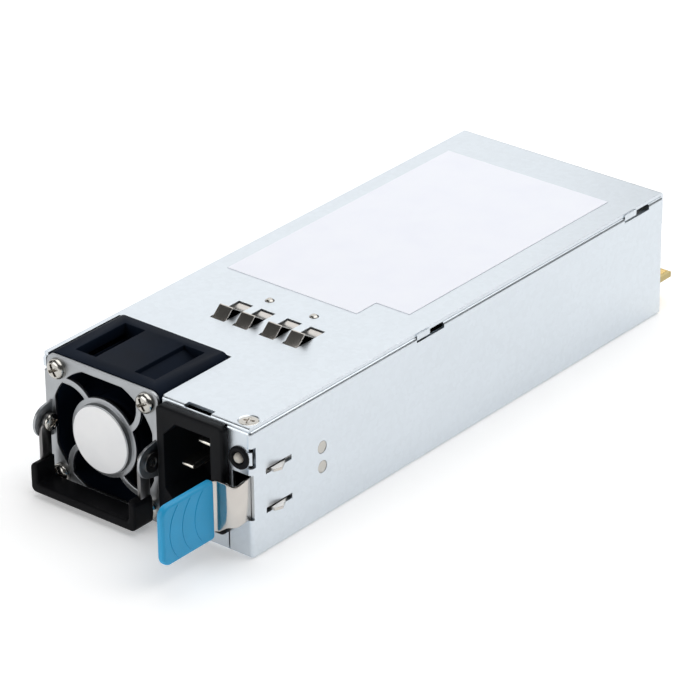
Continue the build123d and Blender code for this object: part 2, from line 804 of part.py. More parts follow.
def standoff_places():
    places = ((6.0, 38.5), (67.0, 38.5), (6.0, 142.0), (67.0, 135.0), (6.0, 177.0), (67.0, 177.0))
    return [(across(x), along(y)) for x, y in places]


def make_gold_fingers():
    fingers = []
    count = int((card_right - card_left - 3.0) // finger_pitch)
    for index in range(count):
        x = card_left + 2.2 + (index + 0.5) * finger_pitch
        if abs(x - card_key) < 1.8:
            continue
        x0 = x - finger_width / 2
        for z0 in (board_top, board_bottom - 0.05):
            fingers.append(block(x0, x0 + finger_width, card_end - 8.2, card_end - 0.7, z0, z0 + 0.05))
    return Compound(fingers)


def make_standoffs():
    posts = []
    for x, y in standoff_places():
        post = rod_z(2.6, x, y, sheet, board_bottom)
        posts.append(post - rod_z(1.3, x, y, sheet + 1, board_bottom + 1))
    return Compound(posts)


def make_board_screws():
    screws = []
    for x, y in standoff_places():
        head = rod_z(2.6, x, y, board_top, board_top + 1.6)
        head = fillet(near(head.edges().filter_by(GeomType.CIRCLE), z=board_top + 1.6), 0.7)
        screws.append(head + rod_z(1.25, x, y, board_top - 5, board_top + 0.1))
    return Compound(screws)


def make_insulator():
    body = block(1.8, wall_right - 0.8, board_front - 1.5, board_rear + 1.0, sheet, sheet + 0.3)
    for x, y in standoff_places():
        body -= rod_z(2.9, x, y, 0, 3)
    return body


# Input side of the board
def make_fuse():
    body = room_rod_x(2.9, 44.5, 58.5, 41.5, 4.2)
    body += room_block(43.9, 47.4, 39.1, 43.9, 0, 2.2)
    return body + room_block(55.6, 59.1, 39.1, 43.9, 0, 2.2)


def make_choke_core():
    return room_rod_y(10.4, 55.0, 50.0, 58.0, 12.0) - room_rod_y(5.6, 55.0, 49, 59, 12.0)


def make_choke_winding():
    sleeve = room_rod_y(11.8, 55.0, 48.6, 59.4, 12.0) - room_rod_y(4.2, 55.0, 48, 60, 12.0)
    sleeve -= room_rod_y(10.45, 55.0, 49.95, 58.05, 12.0) - room_rod_y(5.55, 55.0, 49, 59, 12.0)
    return sleeve - room_block(53.6, 56.4, 48, 60, -1, 25)


def make_choke_base():
    body = room_block(45.0, 65.0, 47.6, 60.4, 0, 1.8)
    return body - room_rod_y(11.8 + play, 55.0, 45, 63, 12.0)


def make_film_capacitors():
    boxes = []
    for x0, y0, y1, top in ((44.0, 64.0, 71.0, 17.0), (58.0, 64.0, 71.0, 17.0), (28.0, 36.8, 42.8, 12.0)):
        body = room_block(x0, x0 + 13.0, y0, y1, 0, top)
        boxes.append(fillet(edges_along(body, Axis.Z), 0.6))
    return Compound(boxes)


def make_relay():
    body = room_block(9.6, 24.4, 38.0, 50.0, 0, 14.0)
    return fillet(body.edges().group_by(Axis.Z)[-1], 0.7)


def make_bridge():
    return room_block(33.0, 36.4, 54.6, 73.0, 1.5, 19.0)


def make_input_heatsink():
    body = room_block(29.4, 33.0, 53.6, 105.0, 0, 24.0)
    for index in range(9):
        y = 54.8 + index * 6.0
        body += room_block(23.4, 29.5, y, y + 1.4, 6.0, 24.0)
    return body


def make_switches():
    parts = []
    for y in (81.4, 97.0):
        body = room_block(33.0, 37.8, y - 7.4, y + 7.4, 2.6, 20.0)
        parts.append(chamfer(body.edges().group_by(Axis.X)[-1], 0.7))
    return Compound(parts)


def make_inductor():
    bobbin = room_block(44.0, 68.0, 76.0, 79.0, 0, 21.0)
    bobbin += room_block(44.0, 68.0, 92.0, 95.0, 0, 21.0)
    bobbin += room_block(47.0, 65.0, 78.9, 92.1, 4.0, 17.0)
    return fillet(edges_along(bobbin, Axis.Y), 1.0)


def make_inductor_winding():
    outer = room_block(45.2, 66.8, 79.05, 91.95, 2.2, 18.8)
    outer = fillet(edges_along(outer, Axis.Y), 2.6)
    return outer - room_block(46.9, 65.1, 77.5, 93.5, 3.9, 17.1)


# Storage and transformer
def make_bulk_capacitor():
    body = room_rod_y(12.5, 56.5, 98.0, 148.0, 12.9)
    body = fillet(body.edges().filter_by(GeomType.CIRCLE), 1.0)
    groove = room_rod_y(13.5, 56.5, 100.4, 101.6, 12.9) - room_rod_y(12.0, 56.5, 99.5, 102.5, 12.9)
    return body - groove


def make_capacitor_cradle():
    body = room_block(50.0, 63.0, 104.0, 142.0, 0, 3.0)
    return body - room_rod_y(12.5 + play, 56.5, 100, 150, 12.9)


def make_transformer_core():
    body = room_block(8.0, 38.0, 106.0, 138.0, 1.0, 26.0)
    for y0, y1 in ((110.5, 117.0), (127.0, 133.5)):
        body -= room_block(7, 39.5, y0, y1, 6.0, 21.0)
    for x0, x1 in ((7, 13), (33, 39.5)):
        body -= room_block(x0, x1, 110.5, 133.5, 6.0, 21.0)
    return body


def make_transformer_winding():
    body = room_block(9.0, 37.0, 110.7, 133.3, 6.2, 20.8)
    body = fillet(edges_along(body, Axis.Z), 2.0)
    return body - room_block(12.8, 33.2, 116.8, 127.2, 0, 25)


def make_transformer_base():
    return room_block(9.5, 36.5, 108.0, 136.0, 0, 1.0)


# Output side of the board
def make_output_bars():
    body = room_block(12.0, 14.0, 146.0, 178.0, 0, 15.0)
    body += room_block(44.0, 46.0, 150.0, 178.0, 0, 15.0)
    body += room_block(12.0, 46.0, 146.0, 148.0, 8.0, 15.0)
    return body - room_block(43, 47, 140, 149.9, -1, 25)


def make_output_capacitors():
    cans = []
    for x in (20.0, 29.0, 38.0):
        for y in (156.0, 165.0, 174.0):
            can = room_rod_z(4.0, x, y, 0, 13.0)
            cans.append(fillet(can.edges().filter_by(GeomType.CIRCLE).group_by(Axis.Z)[-1], 0.6))
    return Compound(cans)


def make_output_heatsink():
    body = room_block(49.5, 52.5, 152.0, 174.0, 0, 23.0)
    for index in range(4):
        low = 8.0 + index * 4.6
        body += room_block(52.4, 60.5, 152.0, 174.0, low, low + 1.2)
    return body


def make_output_switches():
    return Compound([room_block(48.2, 49.5, y, y + 5.4, 2.0, 8.0) for y in (154.0, 161.0, 168.0)])


def make_control_card():
    return room_block(3.4, 5.0, 62.0, 104.0, 0, 22.0)


def make_card_chips():
    chips = []
    for y, z, half_y, half_z in ((72.0, 12.0, 4.5, 4.5), (86.0, 13.0, 3.2, 5.0), (97.0, 8.0, 2.6, 2.6)):
        chips.append(room_block(5.0, 6.2, y - half_y, y + half_y, z - half_z, z + half_z))
    return Compound(chips)


def make_fan_socket():
    body = room_block(27.0, 37.0, 45.0, 50.5, 0, 5.5)
    return body - room_block(28.2, 35.8, 46.2, 49.3, 1.2, 9)


def write_all(pieces):
    os.makedirs("parts", exist_ok=True)
    to_origin = Location((-case_width / 2, -case_length / 2, 0))
    for name, shape in pieces.items():
        solids = [solid.moved(to_origin) for solid in shape.solids()]
        whole = solids[0] if len(solids) == 1 else Compound(solids)
        export_step(whole, f"parts/{name}.step")


pieces = {
    "chassis": make_chassis(),
    "top_cover": make_cover(),
    "rear_panel": make_rear_panel(),
    "rating_label": make_label(),
    "cover_screw": make_cover_screw(),
    "contact_strip_left": make_contact_strip(window_xs[:2], contact_rivet_xs[0]),
    "contact_strip_right": make_contact_strip(window_xs[2:], contact_rivet_xs[1]),
    "contact_rivets": Compound([make_contact_rivet(x) for x in contact_rivet_xs]),
    "fan_frame": make_fan_frame(),
    "fan_stator": make_fan_stator(),
    "fan_bearings": make_fan_bearings(),
    "fan_rotor": make_fan_rotor(),
    "fan_shaft": make_fan_shaft(),
    "fan_screws": make_fan_screws(),
    "fan_guard": make_guard(),
    "guard_disk": make_disk(),
    "handle_arm_left": make_arm(arm_lefts()[0]),
    "handle_arm_right": make_arm(arm_lefts()[1]),
    "handle_grip": make_grip(),
    "pivot_screws": make_pivot_screws(),
    "pivot_nuts": make_pivot_nuts(),
    "inlet_body": make_inlet(),
    "inlet_pins": make_inlet_pins(),
    "light_ring": make_light_ring(),
    "light": make_light(),
    "latch_root": make_latch_root(),
    "latch_spring": make_latch_spring(),
    "latch_tab": make_latch_tab() - make_latch_spring(),
    "latch_rivets": make_latch_rivets(),
    "main_board": make_board(),
    "gold_fingers": make_gold_fingers(),
    "standoffs": make_standoffs(),
    "board_screws": make_board_screws(),
    "insulating_sheet": make_insulator(),
    "fuse": make_fuse(),
    "choke_core": make_choke_core(),
    "choke_winding": make_choke_winding(),
    "choke_base": make_choke_base(),
    "film_capacitors": make_film_capacitors(),
    "relay": make_relay(),
    "bridge_rectifier": make_bridge(),
    "input_heatsink": make_input_heatsink(),
    "power_switches": make_switches(),
    "inductor_bobbin": make_inductor(),
    "inductor_winding": make_inductor_winding(),
    "bulk_capacitor": make_bulk_capacitor(),
    "capacitor_cradle": make_capacitor_cradle(),
    "transformer_core": make_transformer_core(),
    "transformer_winding": make_transformer_winding(),
    "transformer_base": make_transformer_base(),
    "output_bars": make_output_bars(),
    "output_capacitors": make_output_capacitors(),
    "output_heatsink": make_output_heatsink(),
    "output_switches": make_output_switches(),
    "control_card": make_control_card(),
    "card_chips": make_card_chips(),
    "fan_socket": make_fan_socket(),
}
write_all(pieces)
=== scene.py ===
"""Looks of a hot swap server power supply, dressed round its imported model."""

import json
import logging
import math
from dataclasses import asdict, dataclass, field
from enum import Enum

import bmesh
import bpy
from mathutils import Matrix, Vector

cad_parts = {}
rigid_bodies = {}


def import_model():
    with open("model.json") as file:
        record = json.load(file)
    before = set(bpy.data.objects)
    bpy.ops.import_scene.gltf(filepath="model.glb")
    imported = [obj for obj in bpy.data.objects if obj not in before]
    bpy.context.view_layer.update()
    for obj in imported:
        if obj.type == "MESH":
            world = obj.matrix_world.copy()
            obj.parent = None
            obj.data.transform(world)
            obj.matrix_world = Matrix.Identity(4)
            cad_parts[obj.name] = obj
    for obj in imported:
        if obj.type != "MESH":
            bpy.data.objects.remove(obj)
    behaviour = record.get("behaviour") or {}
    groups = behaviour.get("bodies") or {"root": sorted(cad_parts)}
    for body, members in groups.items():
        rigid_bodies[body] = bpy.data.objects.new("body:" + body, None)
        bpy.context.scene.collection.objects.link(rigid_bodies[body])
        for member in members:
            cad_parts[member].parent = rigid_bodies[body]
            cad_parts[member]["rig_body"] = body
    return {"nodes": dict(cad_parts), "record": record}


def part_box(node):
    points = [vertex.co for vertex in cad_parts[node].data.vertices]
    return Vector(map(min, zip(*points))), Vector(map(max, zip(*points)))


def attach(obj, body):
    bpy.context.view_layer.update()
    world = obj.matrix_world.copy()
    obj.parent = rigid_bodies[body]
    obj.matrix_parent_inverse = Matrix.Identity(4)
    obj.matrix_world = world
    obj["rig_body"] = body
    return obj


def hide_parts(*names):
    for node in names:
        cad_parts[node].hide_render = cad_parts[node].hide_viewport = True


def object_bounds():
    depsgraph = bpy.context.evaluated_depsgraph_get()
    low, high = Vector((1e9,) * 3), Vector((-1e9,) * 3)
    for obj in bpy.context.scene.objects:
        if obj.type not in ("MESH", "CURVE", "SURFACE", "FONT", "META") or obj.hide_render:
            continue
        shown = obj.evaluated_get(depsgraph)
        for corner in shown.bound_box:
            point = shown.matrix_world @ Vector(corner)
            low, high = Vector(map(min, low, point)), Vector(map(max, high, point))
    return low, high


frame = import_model()
CAD_LOW, CAD_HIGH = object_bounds()
LOG = logging.getLogger("power_supply")
MM = 0.001
PHOTO_PIXELS = 700
SHARP_ANGLE = math.radians(34.0)
FLAT_ANGLE = math.radians(0.6)
MERGE_DISTANCE = 0.002 * MM
UP, FORWARD, ALONG, ACROSS = Vector((0, 0, 1)), Vector((0, -1, 0)), Vector((0, 1, 0)), Vector((1, 0, 0))

Colour = tuple[float, float, float]
Socket = bpy.types.NodeSocket
Value = Socket | float | int | bool | str | tuple | None


class Graph:
    """Adds and joins the nodes of one shader or geometry tree."""

    def __init__(self, tree: bpy.types.NodeTree) -> None:
        """Keeps the tree that is built."""
        self.tree = tree

    def feed(self, socket: Socket, value: Value) -> None:
        """Links a socket to another, or sets its value.

        Args:
            socket: The input that is fed.
            value: A socket to link from, a plain value, or None to leave it alone.
        """
        if isinstance(value, bpy.types.NodeSocket):
            self.tree.links.new(value, socket)
        elif value is not None:
            socket.default_value = value

    def add(self, kind: str, inputs: dict | None = None, **settings: object) -> bpy.types.Node:
        """Adds a node.

        Args:
            kind: The node's type.
            inputs: What feeds each input, by the input's name or place.
            settings: The node's own properties.

        Returns:
            The new node.
        """
        node = self.tree.nodes.new(kind)
        for key, setting in settings.items():
            setattr(node, key, setting)
        for key, value in (inputs or {}).items():
            self.feed(node.inputs[key], value)
        return node

    def value(self, operation: str, first: Value, second: Value = None, third: Value = None) -> Socket:
        """Adds a Math node on up to three numbers and returns its result."""
        return self.add("ShaderNodeMath", {0: first, 1: second, 2: third}, operation=operation).outputs[0]

    def times(self, first: Value, second: Value) -> Socket:
        """Multiplies two numbers."""
        return self.value("MULTIPLY", first, second)

    def weighed(self, *parts: tuple[Socket, float]) -> Socket:
        """Adds up some values.

        Args:
            parts: Each value with its share in the sum.

        Returns:
            The sum's socket.
        """
        total: Value = 0.0
        for part, share in parts:
            total = self.value("MULTIPLY_ADD", part, share, total)
        return total

    def remap(self, value: Value, span: tuple, to: tuple = (0.0, 1.0)) -> Socket:
        """Maps a value from one range to another, held at its ends, and returns the result."""
        inputs = {"Value": value, "From Min": span[0], "From Max": span[1], "To Min": to[0], "To Max": to[1]}
        return self.add("ShaderNodeMapRange", inputs, clamp=True).outputs["Result"]

    def blend(self, share: Value, first: Value, second: Value) -> Socket:
        """Mixes two colours.

        Args:
            share: How much of the second shows.
            first: The first colour.
            second: The second colour.

        Returns:
            The mixed colour's socket.
        """
        node = self.add("ShaderNodeMix", data_type="RGBA")
        for place, value in ((0, share), (6, first), (7, second)):
            self.feed(node.inputs[place], value)
        return node.outputs[2]

    def split(self, vector: Socket) -> bpy.types.NodeOutputs:
        """Returns the X, Y and Z of a vector."""
        return self.add("ShaderNodeSeparateXYZ", {0: vector}).outputs

    def place(self) -> Socket:
        """Returns the point in hand in its object's own coordinates."""
        return self.add("ShaderNodeTexCoord").outputs["Object"]

    def noise(self, place: Socket, **inputs: Value) -> bpy.types.NodeOutputs:
        """Adds a noise texture, fed by its inputs' own names, and returns its results."""
        return self.add("ShaderNodeTexNoise", {"Vector": place, **inputs}).outputs


def shade(colour: Colour, factor: float = 1.0) -> tuple[float, ...]:
    """Returns a colour made lighter or darker by a factor, with full alpha."""
    return (*(min(1.0, part * factor) for part in colour), 1.0)


class Effects:
    """The shader groups that several finishes share, each built once."""

    WORN_BEND = (0.985, 0.85)
    RUBBED = (0.38, 0.66)
    WIPED = (0.42, 0.72)
    WAVE_BAND = 0.314

    def __init__(self) -> None:
        """Builds every group."""
        self.edges = self._edges()
        self.zinc = self._zinc()
        self.brushed = self._brushed()
        self.grain = self._grain()
        self.marks = self._marks()
        self.turns = self._turns()

    @staticmethod
    def _open(name: str, given: str, start: float, **results: str) -> tuple[Graph, Socket, list[Socket]]:
        """Starts a group that takes one number.

        Args:
            name: The group's name.
            given: The number's name.
            start: Its starting value.
            results: The kind of socket of each result.

        Returns:
            The graph, the number's socket and the results' sockets.
        """
        tree = bpy.data.node_groups.new(name, "ShaderNodeTree")
        number = tree.interface.new_socket(given, in_out="INPUT", socket_type="NodeSocketFloat")
        number.default_value = start
        for title, kind in results.items():
            tree.interface.new_socket(title, in_out="OUTPUT", socket_type=f"NodeSocket{kind}")
        graph = Graph(tree)
        sockets = graph.add("NodeGroupOutput").inputs[: len(results)]
        return graph, graph.add("NodeGroupInput").outputs[0], sockets

    def _texture(self, name: str, start: float, band: float = 1.0) -> tuple:
        """Starts a texture of a given size, and returns its graph, place, scale and results."""
        graph, size, result = self._open(name, "Size", start, Tone="Float", Height="Float")
        return graph, graph.place(), graph.value("DIVIDE", band, size), result

    def _edges(self) -> bpy.types.NodeTree:
        """Rounds sharp edges and finds where they wear.

        Returns:
            A group with a normal and a wear mask.
        """
        graph, radius, result = self._open("rounded edges", "Radius", 0.2 * MM, Normal="Vector", Wear="Float")
        bevel = graph.add("ShaderNodeBevel", {"Radius": radius}, samples=6).outputs["Normal"]
        face = graph.add("ShaderNodeNewGeometry").outputs["Normal"]
        turned = graph.add("ShaderNodeVectorMath", {0: bevel, 1: face}, operation="DOT_PRODUCT")
        rubbed = graph.noise(graph.place(), Scale=420.0, Detail=4.0)["Fac"]
        edge = graph.remap(turned.outputs["Value"], self.WORN_BEND)
        graph.feed(result[0], bevel)
        graph.feed(result[1], graph.times(edge, graph.remap(rubbed, self.RUBBED)))
        return graph.tree

    def _zinc(self) -> bpy.types.NodeTree:
        """Makes the faint crystals and roll streaks of zinc plated sheet.

        Returns:
            A group with a tone and a height.
        """
        graph, place, scale, result = self._texture("zinc sheet", 2.5 * MM)
        bent = graph.noise(place, Scale=260.0, Detail=2.0)["Color"]
        wander = graph.add("ShaderNodeVectorMath", {0: bent, "Scale": 0.9 * MM}, operation="SCALE")
        moved = graph.add("ShaderNodeVectorMath", {0: place, 1: wander.outputs[0]}, operation="ADD")
        crystals = graph.add("ShaderNodeTexVoronoi", {"Vector": moved.outputs[0], "Scale": scale})
        cell = graph.add("ShaderNodeSeparateColor", {"Color": crystals.outputs["Color"]}).outputs[0]
        rolled = graph.add("ShaderNodeMapping", {"Vector": place, "Scale": (1.0, 0.06, 1.0)}).outputs[0]
        streak = graph.noise(rolled, Scale=900.0, Detail=4.0, Roughness=0.6)["Fac"]
        cloud = graph.noise(place, Scale=38.0, Detail=3.0, Roughness=0.55)["Fac"]
        fine = graph.noise(place, Scale=2600.0, Detail=2.0)["Fac"]
        graph.feed(result[0], graph.weighed((cell, 0.34), (streak, 0.22), (cloud, 0.44)))
        graph.feed(result[1], graph.weighed((fine, 0.5), (streak, 0.5)))
        return graph.tree

    def _brushed(self) -> bpy.types.NodeTree:
        """Makes fine lines along the length of a strip.

        Returns:
            A group with a tone and a height.
        """
        graph, place, scale, result = self._texture("brushed metal", 0.2 * MM)
        drawn = graph.add("ShaderNodeMapping", {"Vector": place, "Scale": (1.0, 0.03, 1.0)}).outputs[0]
        lines = graph.noise(drawn, Scale=scale, Detail=5.0, Roughness=0.65)["Fac"]
        cloud = graph.noise(place, Scale=160.0, Detail=2.0)["Fac"]
        graph.feed(result[0], graph.weighed((lines, 0.5), (cloud, 0.5)))
        graph.feed(result[1], lines)
        return graph.tree

    def _grain(self) -> bpy.types.NodeTree:
        """Makes the fine sparkle-free grain of moulded plastic, board or film.

        Returns:
            A group with a tone and a height.
        """
        graph, place, scale, result = self._texture("fine grain", 0.15 * MM)
        pits = graph.add("ShaderNodeTexVoronoi", {"Vector": place, "Scale": scale}, feature="SMOOTH_F1")
        graph.feed(result[0], graph.noise(place, Scale=110.0, Detail=3.0)["Fac"])
        graph.feed(result[1], pits.outputs["Distance"])
        return graph.tree

    def _marks(self) -> bpy.types.NodeTree:
        """Makes faint wipe marks and dust that dull a surface.

        Returns:
            A group with one mask.
        """
        graph, scale, result = self._open("handling marks", "Scale", 55.0, Mask="Float")
        inputs = {"Vector": graph.place(), "Rotation": (0.3, 0.2, 0.6), "Scale": (1.0, 0.35, 1.0)}
        wiped = graph.add("ShaderNodeMapping", inputs).outputs[0]
        smear = graph.noise(wiped, Scale=scale, Detail=6.0, Distortion=0.6)["Fac"]
        graph.feed(result[0], graph.remap(smear, self.WIPED))
        return graph.tree

    def _turns(self) -> bpy.types.NodeTree:
        """Makes the bands of tape or stacked sheets across a wound part.

        Returns:
            A group with a tone and a height.
        """
        graph, place, scale, result = self._texture("wound layers", 0.6 * MM, self.WAVE_BAND)
        inputs = {"Vector": place, "Scale": scale, "Distortion": 0.4}
        bands = graph.add("ShaderNodeTexWave", inputs, bands_direction="Z").outputs["Fac"]
        graph.feed(result[0], graph.noise(place, Scale=200.0, Detail=2.0)["Fac"])
        graph.feed(result[1], bands)
        return graph.tree


class Texture(Enum):
    """The surface texture that a finish carries, by its name in Effects."""

    ZINC = "zinc"
    BRUSHED = "brushed"
    GRAIN = "grain"
    TURNS = "turns"


@dataclass(frozen=True)
class Finish:
    """One finish of the object, with the texture, wear and gloss it has."""

    name: str
    colour: Colour
    roughness: float
    metallic: float = 0.0
    texture: Texture = Texture.GRAIN
    size: float = 0.15 * MM
    contrast: float = 0.1
    spread: float = 0.08
    bump: float = 0.15
    depth: float = 0.02 * MM
    edge: float = 0.15 * MM
    wear: float = 0.0
    worn_colour: Colour = (0.6, 0.6, 0.6)
    gloss: float = 0.5
    coat: float = 0.0
    clear: float = 0.0
    tip_from: float = 0.0
    tip_colour: Colour | None = None
    tone_range: tuple[float, float] = (0.3, 0.7)
    marks_share: float = 0.6

    def build(self, effects: Effects) -> bpy.types.Material:
        """Makes the material.

        Args:
            effects: The shared groups.

        Returns:
            The finished material.
        """
        material = bpy.data.materials.new(self.name)
        material.use_nodes = True
        material.node_tree.nodes.clear()
        graph = Graph(material.node_tree)
        texture = graph.add("ShaderNodeGroup", node_tree=getattr(effects, self.texture.value))
        texture.inputs["Size"].default_value = self.size
        marks = graph.add("ShaderNodeGroup", node_tree=effects.marks)
        edges = graph.add("ShaderNodeGroup", node_tree=effects.edges)
        edges.inputs["Radius"].default_value = self.edge
        tone = graph.remap(texture.outputs["Tone"], self.tone_range)
        dark = shade(self.colour, 1.0 - self.contrast)
        colour = graph.blend(tone, dark, shade(self.colour, 1.0 + self.contrast))
        if self.wear:
            worn = graph.times(edges.outputs["Wear"], self.wear)
            colour = graph.blend(worn, colour, shade(self.worn_colour))
        if self.tip_colour:
            bare = graph.value("GREATER_THAN", graph.split(graph.place())[1], self.tip_from)
            colour = graph.blend(bare, colour, shade(self.tip_colour))
        dull = graph.weighed((tone, 1.0 - self.marks_share), (marks.outputs["Mask"], self.marks_share))
        least, most = self.roughness - self.spread / 2, self.roughness + self.spread
        rough = graph.remap(dull, (0.0, 1.0), (least, most))
        relief = {"Height": texture.outputs["Height"], "Normal": edges.outputs["Normal"]}
        bump = graph.add("ShaderNodeBump", {"Strength": self.bump, "Distance": self.depth, **relief})
        inputs = {
            "Base Color": colour,
            "Roughness": rough,
            "Metallic": self.metallic,
            "Normal": bump.outputs["Normal"],
            "Specular IOR Level": self.gloss,
            "Coat Weight": self.coat,
            "Transmission Weight": self.clear,
        }
        shader = graph.add("ShaderNodeBsdfPrincipled", inputs)
        graph.add("ShaderNodeOutputMaterial", {"Surface": shader.outputs[0]})
        return material


def finishes() -> dict[str, Finish]:
    """Lists the object's finishes.

    Returns:
        Each finish by the record's material slot.
    """
    zinc = (0.675, 0.725, 0.77)
    brushed, turns = Texture.BRUSHED, Texture.TURNS
    return {
        "zinc_sheet": Finish(
            "zinc plated sheet", zinc, 0.34, 1.0, Texture.ZINC, size=1.3 * MM, contrast=0.025, spread=0.04,
            bump=0.10, depth=0.015 * MM, edge=0.1 * MM,
        ),
        "label_film": Finish(
            "label film", (0.905, 0.925, 1.0), 0.42, size=0.3 * MM, contrast=0.015, bump=0.08,
            edge=0.03 * MM, gloss=0.4,
        ),
        "screw_steel": Finish(
            "plated screw steel", (0.52, 0.505, 0.47), 0.2, 1.0, brushed, size=0.3 * MM, contrast=0.08,
            edge=0.3 * MM, wear=1.0, worn_colour=(0.26, 0.13, 0.05),
        ),
        "spring_steel": Finish(
            "nickel spring steel", (0.58, 0.55, 0.515), 0.18, 1.0, brushed, size=0.12 * MM, contrast=0.08
        ),
        "guard_steel": Finish(
            "satin guard steel", (0.40, 0.415, 0.43), 0.40, 1.0, brushed, size=0.2 * MM, contrast=0.08,
            edge=0.25 * MM,
        ),
        "disk_foil": Finish(
            "disk foil", (0.97, 0.975, 0.985), 0.45, 0.05, size=0.12 * MM, contrast=0.04, bump=0.3,
            edge=0.05 * MM,
        ),
        "fan_black": Finish(
            "black fan plastic", (0.006, 0.010, 0.019), 0.45, size=0.1 * MM, contrast=0.2, edge=0.2 * MM,
            gloss=0.025,
        ),
        "magnet_iron": Finish("dull stator iron", (0.2, 0.19, 0.18), 0.5, 1.0, turns, size=0.35 * MM),
        "bearing_metal": Finish("plain brass", (0.72, 0.52, 0.28), 0.3, 1.0, brushed),
        "shaft_steel": Finish("polished shaft steel", (0.75, 0.75, 0.76), 0.14, 1.0, brushed),
        "handle_steel": Finish(
            "dark nickel steel", (0.20, 0.195, 0.195), 0.30, 1.0, brushed, size=0.2 * MM, edge=0.2 * MM
        ),
        "black_plastic": Finish(
            "black grip plastic", (0.007, 0.007, 0.008), 0.38, size=0.12 * MM, contrast=0.15, edge=0.3 * MM,
            gloss=0.04,
        ),
        "socket_black": Finish(
            "black inlet plastic", (0.009, 0.0095, 0.011), 0.4, size=0.12 * MM, contrast=0.15,
            edge=0.25 * MM, gloss=0.07,
        ),
        "blade_nickel": Finish("nickel plated blades", (0.80, 0.77, 0.70), 0.2, 1.0, brushed, edge=0.2 * MM),
        "light_clear": Finish(
            "clear lens", (0.85, 0.80, 0.72), 0.12, size=0.2 * MM, contrast=0.02, spread=0.02, bump=0.02,
            clear=0.35,
        ),
        "blue_plastic": Finish(
            "blue tab plastic", (0.026, 0.36, 0.66), 0.36, size=0.1 * MM, contrast=0.05, edge=0.3 * MM,
            gloss=0.3,
        ),
        "board_green": Finish(
            "green board mask", (0.02, 0.17, 0.07), 0.34, size=0.5 * MM, contrast=0.2, coat=0.2,
            tip_from=92.6 * MM, tip_colour=(0.62, 0.48, 0.17),
        ),
        "contact_gold": Finish("gold contacts", (0.86, 0.62, 0.24), 0.22, 1.0, brushed),
        "sheet_film": Finish("dark insulating film", (0.03, 0.03, 0.032), 0.45),
        "fuse_ceramic": Finish("fuse ceramic", (0.75, 0.74, 0.68), 0.3),
        "ferrite": Finish("ferrite", (0.05, 0.05, 0.055), 0.55, size=0.2 * MM, contrast=0.2, bump=0.3),
        "copper_wire": Finish(
            "enamelled copper", (0.62, 0.24, 0.09), 0.28, 1.0, turns, size=0.9 * MM, bump=0.9
        ),
        "film_box": Finish("yellow capacitor box", (0.78, 0.56, 0.09), 0.4),
        "relay_case": Finish("blue relay case", (0.05, 0.1, 0.32), 0.35),
        "chip_black": Finish("black moulding", (0.02, 0.02, 0.022), 0.5, size=0.1 * MM, bump=0.3),
        "heatsink_alu": Finish("extruded aluminium", (0.6, 0.61, 0.62), 0.32, 1.0, brushed),
        "bobbin_plastic": Finish("dark bobbin plastic", (0.05, 0.045, 0.04), 0.5),
        "can_sleeve": Finish("dark can sleeve", (0.02, 0.022, 0.05), 0.28, coat=0.3),
        "yellow_tape": Finish(
            "yellow winding tape", (0.85, 0.66, 0.08), 0.35, 0.0, turns, size=1.4 * MM, bump=0.5
        ),
        "bus_copper": Finish("tinned copper", (0.75, 0.5, 0.36), 0.3, 1.0, brushed),
        "can_alu": Finish("bare aluminium can", (0.72, 0.73, 0.74), 0.3, 1.0, brushed),
        "white_plastic": Finish("white plug plastic", (0.8, 0.78, 0.7), 0.45),
    }


class Paint:
    """Holds the built materials and dresses pieces in them."""

    def __init__(self) -> None:
        """Builds every finish once."""
        effects = Effects()
        self.materials = {slot: finish.build(effects) for slot, finish in finishes().items()}

    def dress(self, piece: bpy.types.Object, slot: str) -> None:
        """Gives a piece the finish of one material slot."""
        piece.data.materials.clear()
        piece.data.materials.append(self.materials[slot])

    def dress_nodes(self) -> None:
        """Gives every carried-over node the finish of its slot."""
        for part in frame["record"]["subparts"]:
            self.dress(frame["nodes"][part["node"]], part["material_slot"])


def slot_of(node: str) -> str:
    """Returns the record's material slot of a node."""
    return next(part["material_slot"] for part in frame["record"]["subparts"] if part["node"] == node)


def body_of(node: str) -> str:
    """Returns the body that a node belongs to."""
    return frame["nodes"][node]["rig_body"]


def seat_piece(piece: bpy.types.Object, paint: Paint, *nodes: str) -> None:
    """Dresses a piece, lets it ride and stand for its nodes.

    Args:
        piece: The finished piece.
        paint: The built materials.
        nodes: The nodes that it stands for.
    """
    slot = slot_of(nodes[0])
    paint.dress(piece, slot)
    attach(piece, body_of(nodes[0]))
    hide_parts(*nodes)
    LOG.info("%s stands for %s", piece.name, ", ".join(nodes))


def new_piece(name: str, mesh: bpy.types.Mesh) -> bpy.types.Object:
    """Links a new object that holds a mesh.

    Args:
        name: The piece's name.
        mesh: Its mesh.

    Returns:
        The object.
    """
    piece = bpy.data.objects.new(name, mesh)
    bpy.context.scene.collection.objects.link(piece)
    return piece


def bake(piece: bpy.types.Object) -> None:
    """Turns a piece's modifiers into its plain mesh.

    Args:
        piece: The piece with modifiers.
    """
    bpy.context.view_layer.update()
    seen = piece.evaluated_get(bpy.context.evaluated_depsgraph_get())
    mesh = bpy.data.meshes.new_from_object(seen)
    piece.modifiers.clear()
    piece.data = mesh


